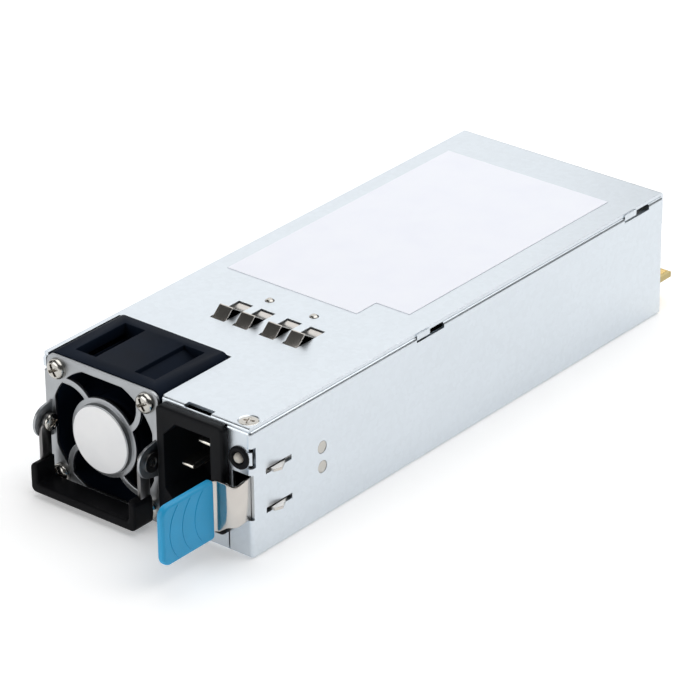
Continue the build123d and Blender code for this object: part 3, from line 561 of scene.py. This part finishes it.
def break_edges(piece: bpy.types.Object, width: float, segments: int) -> None:
    """Rounds a piece's sharp edges for good and shades it smooth between them.

    Args:
        piece: The piece.
        width: The width of the rounding.
        segments: Its number of steps.
    """
    bevel = piece.modifiers.new("broken edges", "BEVEL")
    bevel.width = width
    bevel.segments = segments
    bevel.limit_method = "ANGLE"
    bevel.angle_limit = SHARP_ANGLE
    bevel.use_clamp_overlap = True
    bake(piece)
    made = bmesh.new()
    made.from_mesh(piece.data)
    for face in made.faces:
        face.smooth = True
    for edge in made.edges:
        edge.smooth = len(edge.link_faces) == 2 and edge.calc_face_angle(0.0) < SHARP_ANGLE
    made.to_mesh(piece.data)
    made.free()


def node_copy(node: str) -> bmesh.types.BMesh:
    """Copies a node's mesh with its triangles joined into flat faces.

    Args:
        node: The node.

    Returns:
        The copy.
    """
    made = bmesh.new()
    made.from_mesh(frame["nodes"][node].data)
    bmesh.ops.remove_doubles(made, verts=made.verts, dist=MERGE_DISTANCE)
    bmesh.ops.dissolve_limit(made, angle_limit=FLAT_ANGLE, verts=made.verts, edges=made.edges)
    return made


def islands(node: str) -> list[tuple[Vector, Vector]]:
    """Finds the box of each separate solid of a node.

    Args:
        node: The node.

    Returns:
        The low and high corner of each solid's box.
    """
    made = node_copy(node)
    left = set(made.verts)
    boxes = []
    while left:
        reached = [left.pop()]
        for vert in reached:
            near = {edge.other_vert(vert) for edge in vert.link_edges} & left
            left -= near
            reached.extend(near)
        columns = list(zip(*(vert.co for vert in reached)))
        boxes.append((Vector(map(min, columns)), Vector(map(max, columns))))
    made.free()
    return boxes


@dataclass(frozen=True)
class Spot:
    """Where one of a row of like pieces sits, and the vector that it carries."""

    place: Vector
    axis: Vector


class GeometryGraph(Graph):
    """A geometry tree with named inputs, set on a modifier and baked."""

    TUBE_SIDES = 10

    def __init__(self, name: str, sizes: dict[str, float]) -> None:
        """Starts the tree.

        Args:
            name: The tree's name.
            sizes: The named sizes and their values.
        """
        tree = bpy.data.node_groups.new(name, "GeometryNodeTree")
        tree.interface.new_socket("Geometry", in_out="INPUT", socket_type="NodeSocketGeometry")
        self.values: dict[str, float] = {}
        for title, value in sizes.items():
            socket = tree.interface.new_socket(title, in_out="INPUT", socket_type="NodeSocketFloat")
            self.values[socket.identifier] = value
        socket = tree.interface.new_socket("Finish", in_out="INPUT", socket_type="NodeSocketMaterial")
        self.finish_socket = socket.identifier
        tree.interface.new_socket("Geometry", in_out="OUTPUT", socket_type="NodeSocketGeometry")
        super().__init__(tree)
        self.given = self.add("NodeGroupInput").outputs

    def vector(self, x: Value = 0.0, y: Value = 0.0, z: Value = 0.0) -> Socket:
        """Joins three numbers into a vector."""
        return self.add("ShaderNodeCombineXYZ", {0: x, 1: y, 2: z}).outputs[0]

    def position(self) -> bpy.types.NodeOutputs:
        """Returns the X, Y and Z of the point in hand."""
        return self.split(self.add("GeometryNodeInputPosition").outputs[0])

    def moved(self, geometry: Socket, x: Value, y: Value, z: Value) -> Socket:
        """Puts each point of a geometry at a new place."""
        inputs = {"Geometry": geometry, "Position": self.vector(x, y, z)}
        return self.add("GeometryNodeSetPosition", inputs).outputs[0]

    def carried(self) -> Socket:
        """Returns the vector that each spot carries."""
        node = self.add("GeometryNodeInputNamedAttribute", {"Name": "axis"}, data_type="FLOAT_VECTOR")
        return node.outputs[0]

    def ramp(self, value: Socket, low: Value, high: Value) -> Socket:
        """Rises smoothly from 0 to 1 between two values, which may be in either order."""
        inputs = {"Value": value, "From Min": low, "From Max": high, "To Min": 0.0, "To Max": 1.0}
        return self.add("ShaderNodeMapRange", inputs, interpolation_type="SMOOTHSTEP").outputs["Result"]

    def repeat(self, piece: Socket, axis: str) -> Socket:
        """Puts a piece on every spot, with one of its axes along the vector carried there."""
        turn = self.add("FunctionNodeAlignRotationToVector", {"Vector": self.carried()}, axis=axis).outputs[0]
        inputs = {"Points": self.given["Geometry"], "Instance": piece, "Rotation": turn}
        return self.add("GeometryNodeInstanceOnPoints", inputs).outputs[0]

    def oblong(self, width: Value, height: Value) -> Socket:
        """Draws a rectangle round the origin."""
        inputs = {"Width": width, "Height": height}
        return self.add("GeometryNodeCurvePrimitiveQuadrilateral", inputs).outputs[0]

    def bent(self, curve: Socket, radius: Value, steps: int) -> Socket:
        """Rounds a curve's corners in some steps."""
        inputs = {"Curve": curve, "Count": steps, "Radius": radius}
        return self.add("GeometryNodeFilletCurve", inputs, mode="POLY").outputs[0]

    def sweep(self, curve: Socket, section: Socket) -> Socket:
        """Draws a closed section along a curve."""
        inputs = {"Curve": curve, "Profile Curve": section, "Fill Caps": True}
        return self.add("GeometryNodeCurveToMesh", inputs).outputs[0]

    def tube(self, curve: Socket, radius: Value) -> Socket:
        """Draws a round section along a curve."""
        inputs = {"Resolution": self.TUBE_SIDES, "Radius": radius}
        section = self.add("GeometryNodeCurvePrimitiveCircle", inputs, mode="RADIUS")
        return self.sweep(curve, section.outputs["Curve"])

    def close(self, geometry: Socket) -> None:
        """Ends the tree: instances are made real, shaded smooth between sharp edges, and dressed.

        Args:
            geometry: The last geometry.
        """
        real = self.add("GeometryNodeRealizeInstances", {"Geometry": geometry}).outputs[0]
        whole = self.add("GeometryNodeSetShadeSmooth", {"Geometry": real, "Shade Smooth": True}).outputs[0]
        inputs = {0: self.add("GeometryNodeInputMeshEdgeAngle").outputs[0], 1: SHARP_ANGLE}
        sharp = self.add("FunctionNodeCompare", inputs, data_type="FLOAT", operation="GREATER_THAN")
        inputs = {"Geometry": whole, "Selection": sharp.outputs[0], "Shade Smooth": False}
        edged = self.add("GeometryNodeSetShadeSmooth", inputs, domain="EDGE").outputs[0]
        dressed = self.add("GeometryNodeSetMaterial", {"Geometry": edged, "Material": self.given["Finish"]})
        self.add("NodeGroupOutput", {"Geometry": dressed.outputs[0]})

    def grow(
        self, name: str, spots: list[Spot], material: bpy.types.Material, joined: bool = False
    ) -> bpy.types.Object:
        """Runs the tree on some spots.

        Args:
            name: The piece's name.
            spots: Where the repeated pieces sit and what they face.
            material: What they are made of.
            joined: Whether the spots are the corners of one path.

        Returns:
            The piece as a plain mesh.
        """
        mesh = bpy.data.meshes.new(name)
        steps = [(index, index + 1) for index in range(len(spots) - 1)] if joined else []
        mesh.from_pydata([tuple(spot.place) for spot in spots], steps, [])
        axes = mesh.attributes.new("axis", "FLOAT_VECTOR", "POINT")
        for index, spot in enumerate(spots):
            axes.data[index].vector = spot.axis
        piece = new_piece(name, mesh)
        modifier = piece.modifiers.new(self.tree.name, "NODES")
        modifier.node_group = self.tree
        for identifier, value in self.values.items():
            modifier[identifier] = value
        modifier[self.finish_socket] = material
        bake(piece)
        return piece


@dataclass(frozen=True)
class ScrewSize:
    """The sizes of one kind of screw with a domed head and a cross recess."""

    head_radius: float
    head_height: float
    shank_radius: float
    shank_length: float
    spin: float = 0.5
    recess: float = 0.64
    squareness: float = 0.62
    blade_width: float = 0.42
    blade_depth: float = 1.5
    blade_height: float = 1.08
    blade_taper: float = 0.6
    blade_mouth: float = 1.03


class ScrewTree(GeometryGraph):
    """The tree of a row of screws with domed heads and cross recesses."""

    HEAD_SIDES, HEAD_RINGS, SHANK_SIDES = 40, 24, 32
    JUST_OVER_ONE = 1.0001

    def __init__(self, name: str, size: ScrewSize) -> None:
        """Builds the tree.

        Args:
            name: The tree's name.
            size: The screw's sizes.
        """
        sizes = {key.replace("_", " ").title(): value for key, value in asdict(size).items()}
        super().__init__(name, sizes)
        inputs = {"Mesh 1": self._head()}
        cut = self.add("GeometryNodeMeshBoolean", inputs, operation="DIFFERENCE", solver="EXACT")
        for blade in self._recess():
            self.feed(cut.inputs["Mesh 2"], blade)
        spin = self.vector(z=self.given["Spin"])
        head = self.add("GeometryNodeTransform", {"Geometry": cut.outputs[0], "Rotation": spin})
        length = self.given["Shank Length"]
        inputs = {"Vertices": self.SHANK_SIDES, "Radius": self.given["Shank Radius"], "Depth": length}
        shank = self.add("GeometryNodeMeshCylinder", inputs).outputs["Mesh"]
        below = self.vector(z=self.times(length, -0.5))
        lowered = self.add("GeometryNodeTransform", {"Geometry": shank, "Translation": below})
        whole = self.add("GeometryNodeJoinGeometry")
        for part in (head, lowered):
            self.feed(whole.inputs[0], part.outputs[0])
        self.close(self.repeat(whole.outputs[0], "Z"))

    def _head(self) -> Socket:
        """Makes one domed head along +Z, seated on Z zero.

        Returns:
            The head's mesh.
        """
        given = self.given
        inputs = {"Segments": self.HEAD_SIDES, "Rings": self.HEAD_RINGS, "Radius": 1.0}
        ball = self.add("GeometryNodeMeshUVSphere", inputs).outputs["Mesh"]
        x, y, z = self.position()
        around = self.value("ARCTAN2", y, x)
        flat = self.value("SQRT", self.value("SUBTRACT", self.JUST_OVER_ONE, self.times(z, z)))
        reach = self.times(self.value("POWER", flat, given["Squareness"]), given["Head Radius"])
        lifted = self.value("POWER", self.value("MAXIMUM", z, 0.0), given["Squareness"])
        across = self.times(reach, self.value("COSINE", around))
        along = self.times(reach, self.value("SINE", around))
        dome = self.moved(ball, across, along, self.times(lifted, given["Head Height"]))
        inputs = {"Geometry": dome, "Distance": MERGE_DISTANCE / 2}
        return self.add("GeometryNodeMergeByDistance", inputs).outputs[0]

    def _recess(self) -> list[Socket]:
        """Makes the two tapered blades that cut the cross.

        Returns:
            The blades' meshes.
        """
        given = self.given
        reach = self.times(given["Head Radius"], given["Recess"])
        depth = self.times(given["Head Height"], given["Blade Depth"])
        size = self.vector(self.times(reach, 2.0), self.times(reach, given["Blade Width"]), depth)
        cube = self.add("GeometryNodeMeshCube", {"Size": size}).outputs[0]
        x, y, z = self.position()
        share = self.value("DIVIDE", z, depth)
        taper = self.value("MULTIPLY_ADD", share, given["Blade Taper"], given["Blade Mouth"])
        lifted = self.value("ADD", z, self.times(given["Head Height"], given["Blade Height"]))
        blade = self.moved(cube, self.times(x, taper), self.times(y, taper), lifted)
        quarter = {"Geometry": blade, "Rotation": (0.0, 0.0, math.pi / 2)}
        return [blade, self.add("GeometryNodeTransform", quarter).outputs[0]]


class WireTree(GeometryGraph):
    """The tree of a coil's turns, each a rounded oblong of round wire."""

    CORNER_STEPS = 6

    def __init__(self, name: str, sizes: dict[str, float], facing: str) -> None:
        """Builds the tree.

        Args:
            name: The tree's name.
            sizes: The turn's Width, Height and Corner to the wire's middle, and the Wire's radius.
            facing: The turn's axis that looks along its spot's.
        """
        super().__init__(name, sizes)
        oblong = self.oblong(self.given["Width"], self.given["Height"])
        turn = self.tube(self.bent(oblong, self.given["Corner"], self.CORNER_STEPS), self.given["Wire"])
        self.close(self.repeat(turn, facing))


@dataclass
class SubAssembly:
    """Pieces that belong together, dressed in the built materials."""

    paint: Paint

    def build(self) -> None:
        """Makes the pieces."""
        raise NotImplementedError

    def rounded(
        self, node: str, width: float, segments: int = 2, made: bmesh.types.BMesh | None = None
    ) -> None:
        """Makes a node's piece with its sharp edges broken.

        Args:
            node: The node.
            width: The width of the rounding.
            segments: Its number of steps.
            made: The piece's mesh, where it isn't the node's own. It is used up.
        """
        made = made or node_copy(node)
        mesh = bpy.data.meshes.new(f"{node}_finished")
        made.to_mesh(mesh)
        made.free()
        piece = new_piece(mesh.name, mesh)
        break_edges(piece, width, segments)
        seat_piece(piece, self.paint, node)

    def grown(self, graph: GeometryGraph, name: str, node: str, spots: list[Spot]) -> None:
        """Runs a tree on its spots and puts the piece in its node's place."""
        piece = graph.grow(name, spots, self.paint.materials[slot_of(node)])
        seat_piece(piece, self.paint, node)

    def screws(self, node: str, size: ScrewSize, axis: Vector | None = None) -> None:
        """Makes a node's screws, with their heads where the node's are.

        Args:
            node: The node.
            size: Their sizes.
            axis: The way that the heads face, or None where they face each other along X.
        """
        boxes = islands(node)
        middle = sum(low.x + high.x for low, high in boxes) / (2 * len(boxes))
        spots = []
        for low, high in boxes:
            out = axis or ACROSS * math.copysign(1.0, middle - low.x)
            reach = abs(((high - low) / 2).dot(out)) - size.head_height
            spots.append(Spot((low + high) / 2 + out * reach, out))
        self.grown(ScrewTree(f"{node} tree", size), f"{node}_finished", node, spots)


@dataclass
class Casing(SubAssembly):
    """The sheet metal box with its spring strips and cover screw."""

    strip_edge: float = 0.06 * MM
    screw: ScrewSize = ScrewSize(2.85 * MM, 0.35 * MM, 1.2 * MM, 3.5 * MM, spin=0.4)

    def build(self) -> None:
        """Makes the casing's pieces."""
        for node in ("contact_strip_left", "contact_strip_right"):
            self.rounded(node, self.strip_edge, 1)
        self.screws("cover_screw", self.screw, UP)


@dataclass
class FanModule(SubAssembly):
    """The fan behind its stamped guard, with the four screws that hold both."""

    guard_edge: float = 0.22 * MM
    frame_edge: float = 0.3 * MM
    screw: ScrewSize = ScrewSize(3.0 * MM, 2.1 * MM, 1.65 * MM, 5.0 * MM)

    def build(self) -> None:
        """Makes the fan's pieces."""
        self.rounded("fan_guard", self.guard_edge, 3)
        self.rounded("fan_frame", self.frame_edge)
        self.screws("fan_screws", self.screw, FORWARD)


@dataclass
class PullHandle(SubAssembly):
    """The folding handle with its grip, arms and pivot screws."""

    grip_edge: float = 0.45 * MM
    arm_edge: float = 0.2 * MM
    pivot: ScrewSize = ScrewSize(2.5 * MM, 1.1 * MM, 1.28 * MM, 2.65 * MM, spin=0.35)

    def build(self) -> None:
        """Makes the handle's pieces."""
        for node in ("handle_arm_left", "handle_arm_right"):
            self.rounded(node, self.arm_edge)
        self.rounded("handle_grip", self.grip_edge, 3)
        self.screws("pivot_screws", self.pivot)


@dataclass
class Inlet(SubAssembly):
    """The mains inlet with its three blades."""

    body_edge: float = 0.3 * MM
    pin_edge: float = 0.15 * MM

    def build(self) -> None:
        """Makes the inlet's pieces."""
        self.rounded("inlet_body", self.body_edge)
        self.rounded("inlet_pins", self.pin_edge)


@dataclass
class LeafSpring(SubAssembly):
    """The latch's leaf: the node's own rear part with a softly bent front."""

    sheet: float = 0.8 * MM
    start: float = 2.0 * MM
    lean: float = 0.0986
    outer_bend: float = 2.5 * MM
    inner_bend: float = 1.6 * MM
    bend_steps: int = 12
    before_tab: float = 1.35 * MM
    tail: float = 6.8 * MM
    narrowing: float = 0.75 * MM
    narrow_from: float = 2.5 * MM
    dip: float = 1.1 * MM
    dip_outside: float = 0.9 * MM
    dip_inside: float = 3.6 * MM
    flare: float = 3.3 * MM
    edge: float = 0.1 * MM

    @property
    def begin(self) -> float:
        """Returns where along Y the bent front starts."""
        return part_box("chassis")[0].y + self.start

    def _tree(self) -> GeometryGraph:
        """Builds the tree that bends the front and gives it its outline.

        Returns:
            The tree.
        """
        root_low, root_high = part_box("latch_root")
        tab_low, tab_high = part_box("latch_tab")
        sizes = {
            "Sheet": self.sheet,
            "Top": root_high.z,
            "Bottom": root_low.z,
            "Narrowing": self.narrowing,
            "Dip": self.dip,
            "Flare": self.flare,
            "Start": self.begin,
            "Narrow": self.begin - self.narrow_from,
            "Front": tab_high.y + self.before_tab,
            "Outside": root_high.x - self.dip_outside,
            "Inside": root_high.x - self.dip_inside,
            "Tab": tab_high.x,
        }
        graph = GeometryGraph("leaf front tree", sizes)
        given = graph.given
        path = graph.add("GeometryNodeMeshToCurve", {"Mesh": given["Geometry"]}).outputs[0]
        curve = graph.bent(path, graph.split(graph.carried())[0], self.bend_steps)
        upright = graph.add("GeometryNodeSetCurveNormal", {"Curve": curve}, mode="Z_UP").outputs[0]
        strip = graph.sweep(upright, graph.oblong(given["Sheet"], given["Sheet"]))
        x, y, z = graph.position()
        forward = graph.ramp(y, given["Start"], given["Front"])
        outward = graph.ramp(x, given["Inside"], given["Outside"])
        dip = graph.times(graph.times(outward, forward), given["Dip"])
        cut = graph.times(graph.ramp(y, given["Start"], given["Narrow"]), given["Narrowing"])
        flare = graph.times(graph.ramp(x, given["Outside"], given["Tab"]), given["Flare"])
        top = graph.value("SUBTRACT", graph.value("SUBTRACT", given["Top"], dip), cut)
        bottom = graph.value("SUBTRACT", graph.value("SUBTRACT", given["Bottom"], flare), dip)
        above = graph.value("GREATER_THAN", z, 0.0)
        height = graph.value("MULTIPLY_ADD", above, graph.value("SUBTRACT", top, bottom), bottom)
        graph.close(graph.moved(strip, x, y, height))
        return graph

    def _front(self) -> bpy.types.Object:
        """Bends the front of the leaf along its path, to the blue tab.

        Returns:
            The bent strip.
        """
        root_low, root_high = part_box("latch_root")
        tab_low, tab_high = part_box("latch_tab")
        jog = tab_high.y + self.before_tab
        outer = root_high.x - self.sheet / 2
        inner = (tab_low.x + tab_high.x) / 2
        corners = [
            (outer, self.begin, 0.0),
            (outer - (self.begin - jog) * self.lean, jog, self.outer_bend),
            (inner, jog, self.inner_bend),
            (inner, jog - self.tail, 0.0),
        ]
        spots = [Spot(Vector((x, y, 0.0)), ACROSS * bend) for x, y, bend in corners]
        return self._tree().grow("leaf_front", spots, self.paint.materials["spring_steel"], joined=True)

    def build(self) -> None:
        """Cuts the node's leaf off where the bent front starts, and adds that to it."""
        made = node_copy("latch_spring")
        whole = [*made.verts, *made.edges, *made.faces]
        plane = {"plane_co": ALONG * self.begin, "plane_no": FORWARD}
        cut = bmesh.ops.bisect_plane(made, geom=whole, clear_outer=True, **plane)
        rim = [item for item in cut["geom_cut"] if isinstance(item, bmesh.types.BMEdge)]
        bmesh.ops.holes_fill(made, edges=rim)
        front = self._front()
        made.from_mesh(front.data)
        bpy.data.objects.remove(front)
        self.rounded("latch_spring", self.edge, made=made)


@dataclass
class Latch(SubAssembly):
    """The sprung side latch: its leaf, its rivets and its blue tab with raised arcs."""

    rivet_edge: float = 0.2 * MM
    arcs: int = 3
    arc_pitch: float = 4.9 * MM
    arc_radius: float = 10.8 * MM
    arc_sweep: float = 92.0
    arc_steps: int = 48
    arc_inset: float = 2.8 * MM
    bead: float = 0.16 * MM

    def _arcs(self) -> None:
        """Raises the row of arcs on the tab's outer face, bulging to its front."""
        low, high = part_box("latch_tab")
        sizes = {"Radius": self.arc_radius, "Sweep": math.radians(self.arc_sweep), "Bead": self.bead}
        graph = GeometryGraph("tab arcs tree", sizes)
        given = graph.given
        start = graph.value("MULTIPLY_ADD", given["Sweep"], -0.5, math.radians(270.0))
        inputs = {"Resolution": self.arc_steps, "Radius": given["Radius"]}
        inputs |= {"Start Angle": start, "Sweep Angle": given["Sweep"]}
        arc = graph.add("GeometryNodeCurveArc", inputs, mode="RADIUS").outputs["Curve"]
        graph.close(graph.repeat(graph.tube(arc, given["Bead"]), "Z"))
        first = Vector((high.x, low.y + self.arc_inset + self.arc_radius, (low.z + high.z) / 2))
        spots = [Spot(first + ALONG * (index * self.arc_pitch), ACROSS) for index in range(self.arcs)]
        piece = graph.grow("tab_arcs", spots, self.paint.materials["blue_plastic"])
        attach(piece, body_of("latch_tab"))
        LOG.info("tab_arcs has %d faces", len(piece.data.polygons))

    def build(self) -> None:
        """Makes the latch's pieces."""
        LeafSpring(self.paint).build()
        self.rounded("latch_rivets", self.rivet_edge)
        self._arcs()


@dataclass
class Board(SubAssembly):
    """The parts on the board that are wound or screwed."""

    screw: ScrewSize = ScrewSize(2.6 * MM, 1.6 * MM, 1.25 * MM, 5.0 * MM)
    wire: float = 0.55 * MM
    choke_inner: float = 4.2 * MM
    choke_corner: float = 1.6 * MM
    choke_turns: int = 9
    choke_step: float = 16.0
    coil_corner: float = 2.4 * MM
    coil_pitch: float = 1.02

    def _wind(self, coil: str, spots: list[Spot], size: tuple[float, ...], facing: str) -> None:
        """Puts turns of wire with a width, a height and a corner in place of a coil's winding."""
        sizes = dict(zip(("Width", "Height", "Corner", "Wire"), (*size, self.wire)))
        self.grown(WireTree(f"{coil} tree", sizes, facing), f"{coil}_turns", f"{coil}_winding", spots)

    def _toroid(self) -> None:
        """Winds the choke's two halves."""
        low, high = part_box("choke_winding")
        outer = (high.z - low.z) / 2 - self.wire
        inner = self.choke_inner + self.wire
        spots = []
        for side in (0.0, math.pi):
            for step in range(self.choke_turns):
                angle = side + math.radians(self.choke_step * (step - (self.choke_turns - 1) / 2))
                out = Vector((math.cos(angle), 0.0, math.sin(angle)))
                spots.append(Spot((low + high) / 2 + out * (outer + inner) / 2, out))
        self._wind("choke", spots, (outer - inner, high.y - low.y - 2 * self.wire, self.choke_corner), "X")

    def _coil(self) -> None:
        """Winds the boost inductor between its flanges."""
        low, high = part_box("inductor_winding")
        centre = (low + high) / 2
        pitch = 2 * self.coil_pitch * self.wire
        count = int((high.y - low.y) / pitch)
        spots = [Spot(centre + ALONG * ((index - (count - 1) / 2) * pitch), ALONG) for index in range(count)]
        width, height = high.x - low.x - 2 * self.wire, high.z - low.z - 2 * self.wire
        self._wind("inductor", spots, (width, height, self.coil_corner), "Z")

    def build(self) -> None:
        """Makes the board's pieces."""
        self._toroid()
        self._coil()
        self.screws("board_screws", self.screw, UP)


@dataclass(frozen=True)
class SoftBox:
    """One soft light, hung at a distance in a direction from the object."""

    name: str
    toward: tuple[float, float, float]
    distance: float
    width: float
    height: float
    brightness: float

    def hang(self, aim: Vector) -> None:
        """Hangs the light.

        Args:
            aim: What it points at.
        """
        data = bpy.data.lights.new(self.name, "AREA")
        data.shape = "RECTANGLE"
        data.size, data.size_y = self.width, self.height
        data.energy = self.brightness * math.pi * self.width * self.height
        light = bpy.data.objects.new(self.name, data)
        light.location = aim + Vector(self.toward).normalized() * self.distance
        light.rotation_mode = "QUATERNION"
        light.rotation_quaternion = (aim - light.location).to_track_quat("-Z", "Y")
        bpy.context.scene.collection.objects.link(light)


@dataclass
class Studio:
    """The floor, the soft lights and the camera at the photograph's angle."""

    azimuth: float = 39.654
    elevation: float = 27.165
    roll: float = -0.732
    focal_pixels: float = 4056.0
    distance: float = 1144.2 * MM
    aside: float = -4.51 * MM
    above: float = -5.95 * MM
    aim: Vector = field(default_factory=lambda: Vector((0.0, 0.0, 20.0 * MM)))
    sensor: float = 36.0
    clip: tuple[float, float] = (0.05, 20.0)
    world_strength: float = 0.05
    floor_reach: float = 4.0
    floor_drop: float = 0.02 * MM
    floor_tone: float = 0.93
    floor_roughness: float = 0.9
    floor_gloss: float = 0.1
    floor_glow: float = 0.28
    boxes: tuple[SoftBox, ...] = (
        SoftBox("back light", (-0.80, 0.475, 0.44), 1.0, 1.1, 0.8, 1.13),
        SoftBox("top light", (0.16, 0.34, 0.9), 1.15, 1.6, 1.6, 2.0),
        SoftBox("front light", (-0.35, -0.9, 0.35), 1.4, 1.0, 0.8, 2.4),
    )

    def camera(self) -> None:
        """Puts the camera where the photograph was taken."""
        turn, lift, tilt = (math.radians(angle) for angle in (self.azimuth, self.elevation, self.roll))
        back = Vector((math.sin(turn) * math.cos(lift), -math.cos(turn) * math.cos(lift), math.sin(lift)))
        right = Vector((0, 0, 1)).cross(back).normalized()
        up = back.cross(right)
        across = right * math.cos(tilt) + up * math.sin(tilt)
        upward = up * math.cos(tilt) - right * math.sin(tilt)
        data = bpy.data.cameras.new("camera")
        data.sensor_width = self.sensor
        data.lens = self.focal_pixels * self.sensor / PHOTO_PIXELS
        data.clip_start, data.clip_end = self.clip
        camera = bpy.data.objects.new("camera", data)
        bpy.context.scene.collection.objects.link(camera)
        place = self.aim + across * self.aside + upward * self.above + back * self.distance
        turned = Matrix((across, upward, back)).transposed().to_4x4()
        camera.matrix_world = Matrix.Translation(place) @ turned
        bpy.context.scene.camera = camera

    def floor(self) -> None:
        """Lays the plain pale floor."""
        mesh = bpy.data.meshes.new("floor")
        reach, level = self.floor_reach, CAD_LOW.z - self.floor_drop
        sides = ((-reach, -reach), (reach, -reach), (reach, reach), (-reach, reach))
        mesh.from_pydata([(x, y, level) for x, y in sides], [], [(0, 1, 2, 3)])
        floor = new_piece("floor", mesh)
        material = bpy.data.materials.new("pale floor")
        material.use_nodes = True
        shader = material.node_tree.nodes["Principled BSDF"]
        shader.inputs["Base Color"].default_value = shade((self.floor_tone,) * 3)
        shader.inputs["Roughness"].default_value = self.floor_roughness
        shader.inputs["Specular IOR Level"].default_value = self.floor_gloss
        shader.inputs["Emission Color"].default_value = (1.0, 1.0, 1.0, 1.0)
        shader.inputs["Emission Strength"].default_value = self.floor_glow
        mesh.materials.append(material)

    def build(self) -> None:
        """Builds the whole studio."""
        self.camera()
        self.floor()
        world = bpy.data.worlds.new("studio")
        world.use_nodes = True
        sky = world.node_tree.nodes["Background"]
        sky.inputs["Color"].default_value = (1.0, 1.0, 1.0, 1.0)
        sky.inputs["Strength"].default_value = self.world_strength
        bpy.context.scene.world = world
        bpy.context.scene.view_settings.view_transform = "Standard"
        for box in self.boxes:
            box.hang(self.aim)


def main() -> None:
    """Builds the sub-assemblies in order and reports each piece."""
    logging.basicConfig(level=logging.INFO, format="%(name)s: %(message)s")
    paint = Paint()
    paint.dress_nodes()
    for assembly in (Casing, FanModule, PullHandle, Inlet, Latch, Board):
        assembly(paint).build()
    Studio().build()


if __name__ == "__main__":
    main()
